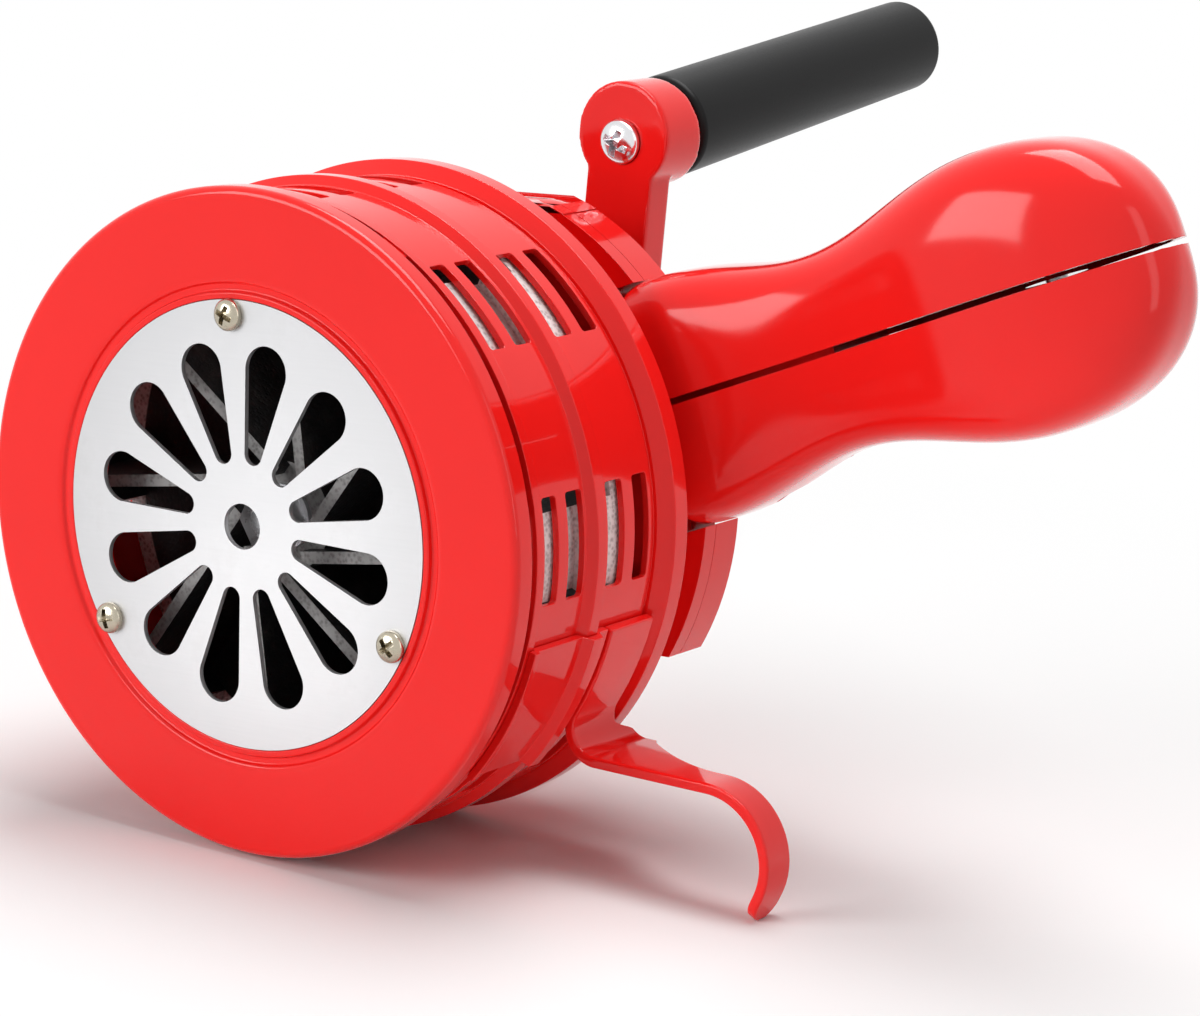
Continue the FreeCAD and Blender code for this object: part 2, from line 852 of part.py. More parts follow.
POST_CLOCKS = (20.0, 125.0, 235.0)
FOOT_PLATE_END = BEAD_END + d.foot_plate_lap
HOOK_FRONT = FOOT_PLATE_END + d.hook_gap


def make_stator_drum():
    groove_end = REAR_GROOVE_START + d.rear_groove_width
    flange_start = DRUM_BACK - d.flange_width
    bush_seat = FRONT_BUSH_RADIUS + d.press_gap
    body = turned_body(
        "drum_casting",
        [
            (DRUM_BORE, d.drum_front_place),
            (d.drum_radius + d.rim_proud, d.drum_front_place),
            (d.drum_radius + d.rim_proud, RIM_END),
            (d.drum_radius, RIM_END + d.rim_proud),
            (d.drum_radius, BEAD_START),
            (d.drum_radius + d.bead_proud, BEAD_START + d.bead_slope_width),
            (d.drum_radius + d.bead_proud, BEAD_END - d.bead_slope_width),
            (d.drum_radius, BEAD_END),
            (d.drum_radius, REAR_GROOVE_START),
            (d.drum_radius - d.rear_groove_depth, REAR_GROOVE_START + d.rear_groove_depth / 2),
            (d.drum_radius - d.rear_groove_depth, groove_end),
            (d.drum_radius, groove_end),
            (FLANGE_RADIUS, flange_start),
            (FLANGE_RADIUS, DRUM_BACK),
            (SPIGOT_RADIUS + d.seat_gap, DRUM_BACK),
            (SPIGOT_RADIUS + d.seat_gap, REAR_WALL_END),
            (bush_seat, REAR_WALL_END),
            (bush_seat, FRONT_BUSH_START),
            (d.drum_boss_radius, FRONT_BUSH_START),
            (d.drum_boss_radius, REAR_WALL_START),
            (DRUM_BORE, REAR_WALL_START),
        ],
    )
    soft = (
        (d.drum_radius + d.rim_proud, d.drum_front_place),
        (d.drum_radius + d.bead_proud, BEAD_START + d.bead_slope_width),
        (d.drum_radius + d.bead_proud, BEAD_END - d.bead_slope_width),
        (FLANGE_RADIUS, flange_start),
        (FLANGE_RADIUS, DRUM_BACK),
    )
    round_edges(body, d.drum_edge_round, lambda edge: any(is_circle(edge, *place) for place in soft))
    half = d.drum_radius * sine(d.port_angle / 2)
    sketch = new_sketch(body, "ports", "YZ_Plane", DRUM_BORE - d.port_depth)
    for start, width in (
        (PORT_A_START, d.port_a_width),
        (PORT_B_START, d.port_b_width),
        (PORT_C_START, d.port_c_width),
        (PORT_D_START, d.port_d_width),
    ):
        draw_outline(
            sketch, [(start, -half), (start + width, -half), (start + width, half), (start, half)]
        )
    ports = pocket(body, sketch, d.port_depth + FLANGE_RADIUS - DRUM_BORE, backwards=True)
    repeat_round(body, ports, d.port_count)
    tab_outside = RING_RADIUS - d.ring_skirt_wall - 2 * d.seat_gap
    tab_inside = tab_outside - d.tab_thickness
    half = d.tab_width / 2
    sketch = new_sketch(body, "tab", "XZ_Plane", -d.ring_plate_thickness, -float(d.tab_clock))
    draw_outline(
        sketch,
        [(-half, tab_inside), (half, tab_inside), (half, tab_outside), (-half, tab_outside)],
    )
    tab = pad(body, sketch, d.drum_front_place + d.rim_width / 2 - d.ring_plate_thickness)
    repeat_round(body, tab, d.tab_count)
    holes = []
    for index, clock in enumerate(POST_CLOCKS):
        radius = d.main_screw_radius + d.seat_gap
        place = at_clock(POST_PLACE, clock)
        holes.append(cylinder(f"drum_hole_{index}", radius, REAR_WALL_START, REAR_WALL_END, place))
    return keep(trimmed("stator_drum", body, holes), "stator_drum")


def make_foot_plate():
    thick = d.foot_plate_thickness
    start = d.drum_front_place + d.rim_proud
    skin = [
        (SKIN_RADIUS + d.rim_proud, start),
        (SKIN_RADIUS + d.rim_proud, RIM_END),
        (SKIN_RADIUS, RIM_END + d.rim_proud),
        (SKIN_RADIUS, BEAD_START),
        (SKIN_RADIUS + d.bead_proud, BEAD_START + d.bead_slope_width),
        (SKIN_RADIUS + d.bead_proud, BEAD_END - d.bead_slope_width),
        (SKIN_RADIUS, BEAD_END),
        (SKIN_RADIUS, FOOT_PLATE_END),
    ]
    back = [(radius + thick, along) for radius, along in reversed(skin)]
    body = turned_body("foot_plate", skin + back, d.foot_angle)
    body.Placement = FreeCAD.Placement(FreeCAD.Vector(), clock_turn(float(d.foot_clock) - X_CLOCK))
    return keep(body, "foot_plate")


class Strip:
    """The two long edges of a bent strip, followed from its start in the XZ plane."""

    def __init__(self, x, z, heading, thickness):
        self.place = FreeCAD.Vector(x, 0, z)
        self.heading = heading
        self.half = thickness / 2
        self.sides = {1: [], -1: []}

    def left(self, heading=None):
        angle = math.radians(self.heading if heading is None else heading)
        return FreeCAD.Vector(-math.sin(angle), 0, math.cos(angle))

    def straight(self, length):
        angle = math.radians(self.heading)
        end = self.place + FreeCAD.Vector(math.cos(angle), 0, math.sin(angle)) * length
        for side, edges in self.sides.items():
            shift = self.left() * (side * self.half)
            edges.append(Part.LineSegment(self.place + shift, end + shift).toShape())
        self.place = end

    def bend(self, radius, turn):
        """Turn left by a positive angle or right by a negative one."""
        sign = math.copysign(1, turn)
        centre = self.place + self.left() * (sign * radius)
        for side, edges in self.sides.items():
            reach = radius - sign * side * self.half
            ends = [
                centre - self.left(self.heading + share * turn) * (sign * reach)
                for share in (0, 0.5, 1)
            ]
            edges.append(Part.Arc(*ends).toShape())
        self.heading += turn
        self.place = centre - self.left() * (sign * radius)

    def face(self):
        """The strip's edge-on face, with a round end."""
        left, right = self.sides[1], self.sides[-1]
        tip_left = self.place + self.left() * self.half
        tip_right = self.place - self.left() * self.half
        angle = math.radians(self.heading)
        nose = self.place + FreeCAD.Vector(math.cos(angle), 0, math.sin(angle)) * self.half
        start_left = left[0].valueAt(left[0].FirstParameter)
        start_right = right[0].valueAt(right[0].FirstParameter)
        edges = left + right
        edges.append(Part.Arc(tip_left, nose, tip_right).toShape())
        edges.append(Part.LineSegment(start_left, start_right).toShape())
        return Part.Face(Part.Wire(Part.__sortEdges__(edges)))


def make_foot_hook():
    thick = float(d.hook_thickness)
    middle = float(SKIN_RADIUS) + thick / 2
    start = [float(value) for value in at_clock(middle, d.foot_clock)]
    strip = Strip(*start, -float(d.foot_clock), thick)
    wrap = float(d.hook_wrap_angle)
    strip.bend(middle, -wrap)
    strip.bend(float(d.hook_root_radius), float(d.foot_clock) + wrap - float(d.hook_slope_angle))
    root_x = strip.place.x
    strip.straight(float(d.hook_straight_length))
    bend_x = strip.place.x
    strip.bend(float(d.hook_tip_radius), -float(d.hook_tip_angle))
    strip.straight(float(d.hook_tip_length))
    front = float(HOOK_FRONT)
    root, tip = float(d.hook_root_width), float(d.hook_tip_width)
    shoulder = root_x + float(d.hook_shoulder_length)
    face = strip.face()
    face.translate(FreeCAD.Vector(0, front, 0))
    solid = face.extrude(FreeCAD.Vector(0, root, 0))
    low = -2 * float(d.drum_radius)
    far_x = bend_x + float(d.hook_tip_radius) + 2 * thick
    curve = []
    for index in range(TAPER_STEPS + 1):
        share = index / TAPER_STEPS
        width = tip + (root - tip) * (1 - share) ** float(d.hook_taper_power)
        across = shoulder + share * float(d.hook_taper_length)
        curve.append(FreeCAD.Vector(across, front + width, low))
    taper = Part.BSplineCurve()
    taper.interpolate(curve)
    corners = [
        curve[-1],
        FreeCAD.Vector(far_x, front + tip, low),
        FreeCAD.Vector(far_x, front + 2 * root, low),
        FreeCAD.Vector(shoulder, front + 2 * root, low),
        curve[0],
    ]
    outline = Part.Wire(taper.toShape().Edges + Part.makePolygon(corners).Edges)
    wedge = Part.Face(outline).extrude(FreeCAD.Vector(0, 0, -low))
    beside_flange = Part.makeCylinder(
        float(FLANGE_RADIUS + d.hook_notch_gap),
        root,
        vector(0, HOOK_FRONT + d.hook_wrap_width, 0),
        FreeCAD.Vector(0, 1, 0),
    )
    solid = solid.cut(wedge).cut(beside_flange).removeSplitter()
    return keep(scripted("foot_hook", solid), "foot_hook")


# ---------------------------------------------------------------- rotor and its shaft


def make_rotor():
    bore = d.shaft_radius + d.press_gap
    inside = ROTOR_RADIUS - d.rotor_wall
    plate = ROTOR_BACK - d.rotor_plate_thickness
    groove_start = ROTOR_FRONT + d.land_groove_inset
    groove_end = groove_start + d.land_groove_width
    body = turned_body(
        "rotor",
        [
            (bore, ROTOR_HUB_FRONT),
            (d.rotor_hub_radius, ROTOR_HUB_FRONT),
            (d.rotor_hub_radius, plate),
            (inside, plate),
            (inside, ROTOR_FRONT),
            (ROTOR_RADIUS, ROTOR_FRONT),
            (ROTOR_RADIUS, groove_start),
            (ROTOR_RADIUS - d.land_groove_depth, groove_start),
            (ROTOR_RADIUS - d.land_groove_depth, groove_end),
            (ROTOR_RADIUS, groove_end),
            (ROTOR_RADIUS, ROTOR_BACK),
            (bore, ROTOR_BACK),
        ],
    )
    pitch = 360 / d.vane_count
    half = ROTOR_RADIUS * sine((pitch - d.land_angle) / 2)
    reach = d.rotor_wall + ROTOR_RADIUS * (1 - cosine(pitch / 2))
    sketch = new_sketch(body, "window", "YZ_Plane", ROTOR_RADIUS - reach)
    start = ROTOR_FRONT - d.seat_gap
    draw_outline(sketch, [(start, -half), (plate, -half), (plate, half), (start, half)])
    window = pocket(body, sketch, reach + d.rotor_wall, backwards=True)
    repeat_round(body, window, d.vane_count)
    swing = math.degrees(math.asin(float(d.vane_offset) / float(inside)))
    vane_front = ROTOR_FRONT + d.vane_inset
    sketch = new_sketch(body, "vane", "XZ_Plane", -vane_front, swing - 180 / float(d.vane_count))
    near, far = d.rotor_hub_radius / 2, inside + d.land_groove_depth
    left = d.vane_offset - d.vane_thickness / 2
    right = d.vane_offset + d.vane_thickness / 2
    draw_outline(sketch, [(left, near), (right, near), (right, far), (left, far)])
    vane = pad(body, sketch, plate - vane_front + d.seat_gap)
    repeat_round(body, vane, d.vane_count)
    turn = float(d.rotor_clock) - 180 / float(d.vane_count)
    body.Placement = FreeCAD.Placement(FreeCAD.Vector(), clock_turn(turn))
    return keep(body, "rotor")


def hexagon(across_flats):
    """Corners of a hexagon in a sketch's plane."""
    sides = 6
    reach = across_flats / 2 / cosine(180 / sides)
    turns = [360 * index / sides for index in range(sides)]
    return [(reach * cosine(turn), reach * sine(turn)) for turn in turns]


def make_rotor_shaft():
    shoulder = FRONT_BUSH_START - d.run_gap
    tip = ROTOR_HUB_FRONT - d.washer_thickness - d.rotor_nut_height - d.washer_thickness
    step = ROTOR_HUB_FRONT + d.washer_thickness / 2
    body = turned_body(
        "rotor_shaft",
        [
            (0, tip),
            (d.shaft_thread_radius - d.shaft_chamfer, tip),
            (d.shaft_thread_radius, tip + d.shaft_chamfer),
            (d.shaft_thread_radius, step),
            (d.shaft_radius, step),
            (d.shaft_radius, ROTOR_BACK),
            (d.spacer_radius, ROTOR_BACK),
            (d.spacer_radius, shoulder),
            (d.shaft_radius, shoulder),
            (d.shaft_radius, ROTOR_PINION_START),
            (d.shaft_tail_radius, ROTOR_PINION_START),
            (d.shaft_tail_radius, BRIDGE_END - d.seat_gap),
            (0, BRIDGE_END - d.seat_gap),
        ],
    )
    return keep(body, "rotor_shaft")


def make_rotor_fixings():
    washer_start = ROTOR_HUB_FRONT - d.washer_thickness
    bore = d.shaft_thread_radius + d.press_gap
    washer = turned_body(
        "rotor_washer",
        tube_corners(bore, d.rotor_washer_radius, washer_start, ROTOR_HUB_FRONT),
    )
    nut = new_body("rotor_nut")
    sketch = new_sketch(nut, "hexagon", "XZ_Plane", d.rotor_nut_height - washer_start)
    draw_outline(sketch, hexagon(d.rotor_nut_width))
    draw_circle(sketch, (0, 0), bore)
    pad(nut, sketch, d.rotor_nut_height)
    keep(washer, "rotor_washer")
    keep(nut, "rotor_nut")


def make_rotor_bushes():
    front = turned_body(
        "rotor_bush_front",
        tube_corners(
            d.shaft_radius + d.run_gap,
            FRONT_BUSH_RADIUS,
            FRONT_BUSH_START,
            FRONT_BUSH_START + d.front_bush_length,
        ),
    )
    inner = d.shaft_tail_radius + d.run_gap
    rear = turned_body(
        "rotor_bush_rear",
        tube_corners(inner, d.shaft_tail_radius + d.bush_wall, BRIDGE_START, BRIDGE_END),
    )
    keep(front, "rotor_bush_front")
    keep(rear, "rotor_bush_rear")


# ---------------------------------------------------------------- gears


def involute(angle):
    return math.tan(angle) - angle


def gear_solid(teeth, width, tooth_clock):
    """An involute spur gear on the Y axis, with a tooth at the given clock angle."""
    teeth = int(float(teeth))
    pitch_radius = float(PITCH) * teeth
    tip = pitch_radius + float(d.gear_module)
    root = pitch_radius - float(d.gear_module) - float(d.gear_depth_gap)
    slope = math.radians(float(d.pressure_angle))
    base = pitch_radius * math.cos(slope)
    at_pitch = math.pi / (2 * teeth) - float(d.gear_backlash_gap) / (2 * pitch_radius)

    def half_angle(radius):
        reach = max(radius, base)
        return at_pitch + involute(slope) - involute(math.acos(base / reach))

    def point(radius, angle):
        return FreeCAD.Vector(radius * math.sin(angle), 0, radius * math.cos(angle))

    start = max(base, root)
    flank = (start, (start + tip) / 2, tip)
    pitch = 2 * math.pi / teeth
    edges = []
    for index in range(teeth):
        middle = math.radians(tooth_clock) + index * pitch
        rising = [point(radius, middle - half_angle(radius)) for radius in flank]
        falling = [point(radius, middle + half_angle(radius)) for radius in reversed(flank)]
        foot = point(root, middle - half_angle(start))
        heel = point(root, middle + half_angle(start))
        following = point(root, middle + pitch - half_angle(start))
        if root < start:
            edges.append(Part.LineSegment(foot, rising[0]).toShape())
        edges.append(Part.Arc(*rising).toShape())
        edges.append(Part.Arc(rising[-1], point(tip, middle), falling[0]).toShape())
        edges.append(Part.Arc(*falling).toShape())
        if root < start:
            edges.append(Part.LineSegment(falling[-1], heel).toShape())
        edges.append(Part.Arc(heel, point(root, middle + pitch / 2), following).toShape())
    return Part.Face(Part.Wire(edges)).extrude(vector(0, width, 0))


def y_cylinder(radius, start, length, x=0, z=0):
    return Part.makeCylinder(float(radius), float(length), vector(x, start, z), vector(0, 1, 0))


def clock_between(from_place, to_place):
    """Clock angle of the line from one axis to another."""
    across = float(to_place[0]) - float(from_place[0])
    up = float(to_place[1]) - float(from_place[1])
    return math.degrees(math.atan2(across, up))


CRANK_PLACE = (CRANK_X, CRANK_Z)
IDLER_PLACE = (IDLER_X, IDLER_Z)
SLEEVE_START = REAR_WALL_END + d.housing_wall + d.seat_gap
SLEEVE_END = COVER_INSIDE - d.seat_gap


def gap_clock(teeth, clock):
    """Clock angle of a tooth that leaves a gap at the given clock angle."""
    return clock + 180 / float(teeth)


def make_rotor_pinion():
    clock = gap_clock(d.rotor_pinion_teeth, clock_between((0, 0), IDLER_PLACE))
    solid = gear_solid(d.rotor_pinion_teeth, d.rotor_pinion_width, clock)
    solid = solid.cut(y_cylinder(d.shaft_tail_radius + d.press_gap, 0, d.rotor_pinion_width))
    place = FreeCAD.Placement(vector(0, ROTOR_PINION_START, 0), FreeCAD.Rotation())
    return keep(scripted("rotor_pinion", solid, place), "rotor_pinion")


def make_idler_gear():
    start = ROTOR_PINION_START + (d.rotor_pinion_width - d.idler_gear_width) / 2
    solid = gear_solid(d.idler_gear_teeth, d.idler_gear_width, clock_between(IDLER_PLACE, (0, 0)))
    solid = solid.cut(y_cylinder(d.idler_sleeve_radius + d.press_gap, 0, d.idler_gear_width))
    place = FreeCAD.Placement(vector(IDLER_X, start, IDLER_Z), FreeCAD.Rotation())
    return keep(scripted("idler_gear", solid, place), "idler_gear")


def make_idler_pinion():
    width = d.crank_gear_width + d.washer_thickness
    start = CRANK_GEAR_START - d.washer_thickness / 2
    toward_crank = clock_between(IDLER_PLACE, CRANK_PLACE)
    clock = gap_clock(d.idler_pinion_teeth, toward_crank)
    solid = gear_solid(d.idler_pinion_teeth, width, clock)
    solid.translate(vector(0, start - SLEEVE_START, 0))
    solid = solid.fuse(y_cylinder(d.idler_sleeve_radius, 0, SLEEVE_END - SLEEVE_START))
    bore = d.idler_pin_radius + d.run_gap
    solid = solid.cut(y_cylinder(bore, 0, SLEEVE_END - SLEEVE_START))
    place = FreeCAD.Placement(vector(IDLER_X, SLEEVE_START, IDLER_Z), FreeCAD.Rotation())
    return keep(scripted("idler_pinion", solid.removeSplitter(), place), "idler_pinion")


def make_idler_pin():
    start = REAR_WALL_END + d.pin_seat_depth
    end = COVER_BACK - d.pin_seat_depth
    pin = cylinder("idler_pin", d.idler_pin_radius, start, end, IDLER_PLACE)
    return keep(pin, "idler_pin")


def make_crank_gear():
    clock = clock_between(CRANK_PLACE, IDLER_PLACE)
    solid = gear_solid(d.crank_gear_teeth, d.crank_gear_width, clock)
    tools = [y_cylinder(d.crank_shaft_radius + d.press_gap, 0, d.crank_gear_width)]
    holes = int(float(d.gear_hole_count))
    for index in range(holes):
        across, up = at_clock(d.gear_hole_place, 360 * index / holes)
        tools.append(y_cylinder(d.gear_hole_radius, 0, d.crank_gear_width, across, up))
    solid = solid.cut(tools)
    place = FreeCAD.Placement(vector(CRANK_X, CRANK_GEAR_START, CRANK_Z), FreeCAD.Rotation())
    return keep(scripted("crank_gear", solid, place), "crank_gear")


# ---------------------------------------------------------------- gear housing

COVER_CLOCKS = (30.0, 108.0, 250.0, 325.0)
GRIP_RECESS = d.grip_base_half_height + d.seat_gap
BEYOND_ALL = 2 * FLANGE_RADIUS


def flats(name, start, end, inset):
    """A wide box that keeps what lies between the housing's two flats."""
    low = (-BEYOND_ALL, start, inset - d.bottom_flat_place)
    return box(name, low, (BEYOND_ALL, end, TOP_FLAT - inset))


def outline_block(name, radius, start, end, inset=0):
    """A disc with the housing's top and bottom flats."""
    disc = cylinder(f"{name}_disc", radius, start, end)
    return shared(name, [disc, flats(f"{name}_flats", start, end, inset)])


def grip_room(name, from_axis, along, extra=0):
    """The room that the grip's base takes beside the housing."""
    return radial_box(name, (from_axis, BEYOND_ALL), along, GRIP_RECESS + extra, d.grip_clock)


def cavity_tool(name, radius, start, end, inset):
    """The housing's hollow: a flattened disc that keeps its wall beside the grip."""
    block = outline_block(f"{name}_block", radius, start, end, inset)
    keep_wall = grip_room(f"{name}_wall", WALL_BEHIND_GRIP, (start, end), d.housing_wall)
    return trimmed(name, block, [keep_wall])


def rounded(name, base, radius, wanted):
    """Fillet the edges of a solid that the test picks."""
    doc.recompute()
    feature = doc.addObject("Part::Fillet", name)
    feature.Base = base
    size = float(radius)
    picked = [i for i, edge in enumerate(base.Shape.Edges, start=1) if wanted(edge)]
    feature.Edges = [(index, size, size) for index in picked]
    doc.recompute()
    return feature


def lies_at(edge, along):
    """Whether a whole edge lies in the plane at a Y place."""
    box_y = edge.BoundBox
    return math.isclose(box_y.YMin, float(along), abs_tol=TOLERANCE) and math.isclose(
        box_y.YMax, float(along), abs_tol=TOLERANCE
    )


def runs_along(edge):
    """Whether an edge is a straight line along Y."""
    size = edge.BoundBox
    return size.XLength < TOLERANCE and size.ZLength < TOLERANCE


def make_gear_housing():
    front = cylinder("housing_spigot", SPIGOT_RADIUS, REAR_WALL_END, DRUM_BACK)
    neck = outline_block("housing_neck", NECK_RADIUS, DRUM_BACK, GEAR_RIM_START, d.neck_flat_inset)
    rim = outline_block("housing_rim", GEAR_RIM_RADIUS, GEAR_RIM_START, COVER_START)
    rim = rounded("housing_rim_round", rim, d.outline_corner_radius, runs_along)
    shell = joined("housing_shell", [front, neck, rim])
    inner_face = REAR_WALL_END + d.housing_wall
    flat_inset = d.neck_flat_inset + d.housing_wall
    cavity = cavity_tool("housing_cavity", CAVITY_RADIUS, inner_face, COVER_START, flat_inset)
    room = grip_room("housing_grip_room", GRIP_START, (DRUM_BACK + d.seat_gap, COVER_START))
    hollow = trimmed("housing_hollow", shell, [cavity, room])
    lug_along = (LUG_FRONT, LUG_FRONT + d.lug_width)
    tongue = (LUG_FRONT, COVER_START - d.seat_gap)
    pieces = [
        hollow,
        radial_box(
            "lug_root", (WALL_BEHIND_GRIP, LUG_END), tongue, d.lug_half_height, d.grip_clock
        ),
        radial_box(
            "lug_bar",
            (GRIP_START + d.seat_gap, LUG_END),
            lug_along,
            d.lug_half_height,
            d.grip_clock,
        ),
    ]
    for index, clock in enumerate(POST_CLOCKS):
        place = at_clock(POST_PLACE, clock)
        pieces.append(cylinder(f"post_{index}", d.post_radius, REAR_WALL_END, BRIDGE_START, place))
    for index, clock in enumerate(COVER_CLOCKS):
        place = at_clock(COVER_SCREW_PLACE, clock)
        start = COVER_START - d.cover_boss_depth
        boss = cylinder(f"housing_boss_{index}", d.cover_boss_radius, start, COVER_START, place)
        pieces.append(boss)
    casting = joined("housing_casting", pieces)
    tools = [
        cylinder(
            "housing_shaft_hole",
            FRONT_BUSH_RADIUS + d.run_gap + d.seat_gap,
            REAR_WALL_END,
            inner_face,
        ),
        cylinder(
            "housing_pin_hole",
            d.idler_pin_radius + d.press_gap,
            REAR_WALL_END + d.pin_seat_depth,
            inner_face,
            IDLER_PLACE,
        ),
    ]
    for index, clock in enumerate(POST_CLOCKS):
        place = at_clock(POST_PLACE, clock)
        near_end = REAR_WALL_START + d.housing_screw_length + d.seat_gap
        far_start = BRIDGE_END - d.bridge_screw_length - d.seat_gap
        radius = d.main_screw_radius + TAP_GAP
        tools.append(cylinder(f"post_tap_{index}", radius, REAR_WALL_END, near_end, place))
        radius = d.small_screw_radius + TAP_GAP
        tools.append(cylinder(f"post_top_tap_{index}", radius, far_start, BRIDGE_START, place))
    for index, clock in enumerate(COVER_CLOCKS):
        place = at_clock(COVER_SCREW_PLACE, clock)
        start = COVER_BACK - d.cover_screw_length - d.seat_gap
        radius = d.main_screw_radius + TAP_GAP
        tools.append(cylinder(f"housing_tap_{index}", radius, start, COVER_START, place))
    radius = d.main_screw_radius + d.seat_gap
    reach = d.lug_half_height + d.seat_gap
    for index, distance in enumerate((NEAR_SCREW, MIDDLE_SCREW)):
        tools.append(grip_drill(f"lug_hole_{index}", distance, radius, -reach, reach))
    return keep(trimmed("gear_housing", casting, tools), "gear_housing")


def grip_drill(name, distance, radius, low, high):
    """A cylinder across the grip's seam, at a distance from the siren's axis."""
    drill = doc.addObject("Part::Cylinder", name)
    bind(drill, "Radius", radius)
    bind(drill, "Height", high - low)
    drill.Placement.Rotation = clock_turn(float(d.grip_clock) - X_CLOCK)
    out_x, out_z = at_clock(distance, d.grip_clock)
    up_x, up_z = at_clock(low, d.grip_clock - X_CLOCK)
    bind(drill, "Placement.Base.x", out_x + up_x)
    bind(drill, "Placement.Base.y", GRIP_SCREW_ALONG)
    bind(drill, "Placement.Base.z", out_z + up_z)
    return drill


def make_gear_cover():
    block = outline_block("cover_block", GEAR_RIM_RADIUS, COVER_START, COVER_BACK)
    corners = rounded("cover_corners", block, d.outline_corner_radius, runs_along)
    back = rounded("cover_round", corners, d.cover_edge_round, lambda edge: lies_at(edge, COVER_BACK))
    inset = d.housing_wall
    cavity = cavity_tool(
        "cover_cavity", GEAR_RIM_RADIUS - d.housing_wall, COVER_START, COVER_INSIDE, inset
    )
    room = grip_room("cover_grip_room", GRIP_START, (COVER_START, COVER_BACK))
    hollow = trimmed("cover_hollow", back, [cavity, room])
    boss = cylinder(
        "cover_crank_boss", d.crank_boss_radius, COVER_INSIDE, CRANK_BOSS_END, CRANK_PLACE
    )
    pieces = [hollow, boss]
    for index, clock in enumerate(COVER_CLOCKS):
        place = at_clock(COVER_SCREW_PLACE, clock)
        radius = d.cover_boss_radius
        post = cylinder(f"cover_boss_{index}", radius, COVER_START, COVER_INSIDE, place)
        pieces.append(post)
    casting = joined("cover_casting", pieces)
    bush = d.crank_shaft_radius + d.bush_wall + d.press_gap
    tools = [
        cylinder("cover_bush_seat", bush, COVER_INSIDE, CRANK_BOSS_END, CRANK_PLACE),
        cylinder(
            "cover_pin_hole",
            d.idler_pin_radius + d.press_gap,
            COVER_INSIDE,
            COVER_BACK - d.pin_seat_depth,
            IDLER_PLACE,
        ),
    ]
    for index, clock in enumerate(COVER_CLOCKS):
        place = at_clock(COVER_SCREW_PLACE, clock)
        radius = d.main_screw_radius + d.seat_gap
        tools.append(cylinder(f"cover_hole_{index}", radius, COVER_START, COVER_BACK, place))
    return keep(trimmed("gear_cover", casting, tools), "gear_cover")


def make_bearing_bridge():
    inset = d.neck_flat_inset + d.housing_wall + d.bridge_side_gap
    block = outline_block("bridge_block", BRIDGE_RADIUS, BRIDGE_START, BRIDGE_END, inset)
    tools = [
        cylinder(
            "bridge_rotor_seat",
            d.shaft_tail_radius + d.bush_wall + d.press_gap,
            BRIDGE_START,
            BRIDGE_END,
        ),
        cylinder(
            "bridge_crank_seat",
            d.crank_shaft_radius + d.bush_wall + d.press_gap,
            BRIDGE_START,
            BRIDGE_END,
            CRANK_PLACE,
        ),
        cylinder(
            "bridge_idler_hole",
            d.idler_sleeve_radius + d.bridge_side_gap,
            BRIDGE_START,
            BRIDGE_END,
            IDLER_PLACE,
        ),
    ]
    for index, clock in enumerate(POST_CLOCKS):
        place = at_clock(POST_PLACE, clock)
        radius = d.small_screw_radius + d.seat_gap
        tools.append(cylinder(f"bridge_hole_{index}", radius, BRIDGE_START, BRIDGE_END, place))
    return keep(trimmed("bearing_bridge", block, tools), "bearing_bridge")


def make_housing_screws():
    """Screws of the drum, the bridge and the cover."""
    drum_screw = pan_screw(
        "housing_screw",
        d.main_screw_radius,
        d.main_head_radius,
        d.main_head_height,
        d.housing_screw_length,
    )
    copies("housing_screws", drum_screw, ring_places(POST_PLACE, POST_CLOCKS, REAR_WALL_START))
    bridge_screw = pan_screw(
        "bridge_screw",
        d.small_screw_radius,
        d.small_head_radius,
        d.small_head_height,
        d.bridge_screw_length,
    )
    places = [facing_back(place) for place in ring_places(POST_PLACE, POST_CLOCKS, BRIDGE_END)]
    copies("bridge_screws", bridge_screw, places)
    cover_screw = pan_screw(
        "cover_screw",
        d.main_screw_radius,
        d.main_head_radius,
        d.main_head_height,
        d.cover_screw_length,
    )
    places = [
        facing_back(place) for place in ring_places(COVER_SCREW_PLACE, COVER_CLOCKS, COVER_BACK)
    ]
    copies("cover_screws", cover_screw, places)


# ---------------------------------------------------------------- crank and knob


def crank_frame(along=0):
    """Placement of a piece that is built about the crank's axis with the arm along +Z."""
    return FreeCAD.Placement(vector(CRANK_X, along, CRANK_Z), clock_turn(d.crank_lean_angle))


def knob_frame():
    """Placement of a piece built along +Y from the back of the arm's eye.

    The knob's axis leans outwards and starts below the middle of the eye's front, so that it
    leaves the eye's back close to its middle.
    """
    splay = FreeCAD.Rotation(FreeCAD.Vector(1, 0, 0), float(d.knob_splay_angle))
    eye = FreeCAD.Placement(vector(0, ARM_FRONT, d.crank_length - d.knob_axis_drop), splay)
    back = FreeCAD.Placement(vector(0, d.eye_depth, 0), FreeCAD.Rotation())
    return crank_frame() * eye * back


def make_crank_shaft():
    start = BRIDGE_START + d.seat_gap
    end = ARM_FRONT + d.arm_thickness - d.seat_gap
    tap = d.knob_screw_radius + TAP_GAP
    body = turned_body(
        "crank_shaft",
        [
            (0, start),
            (d.crank_shaft_radius, start),
            (d.crank_shaft_radius, end),
            (tap, end),
            (tap, end - d.crank_screw_length),
            (0, end - d.crank_screw_length),
        ],
    )
    body.Placement = crank_frame()
    return keep(body, "crank_shaft")


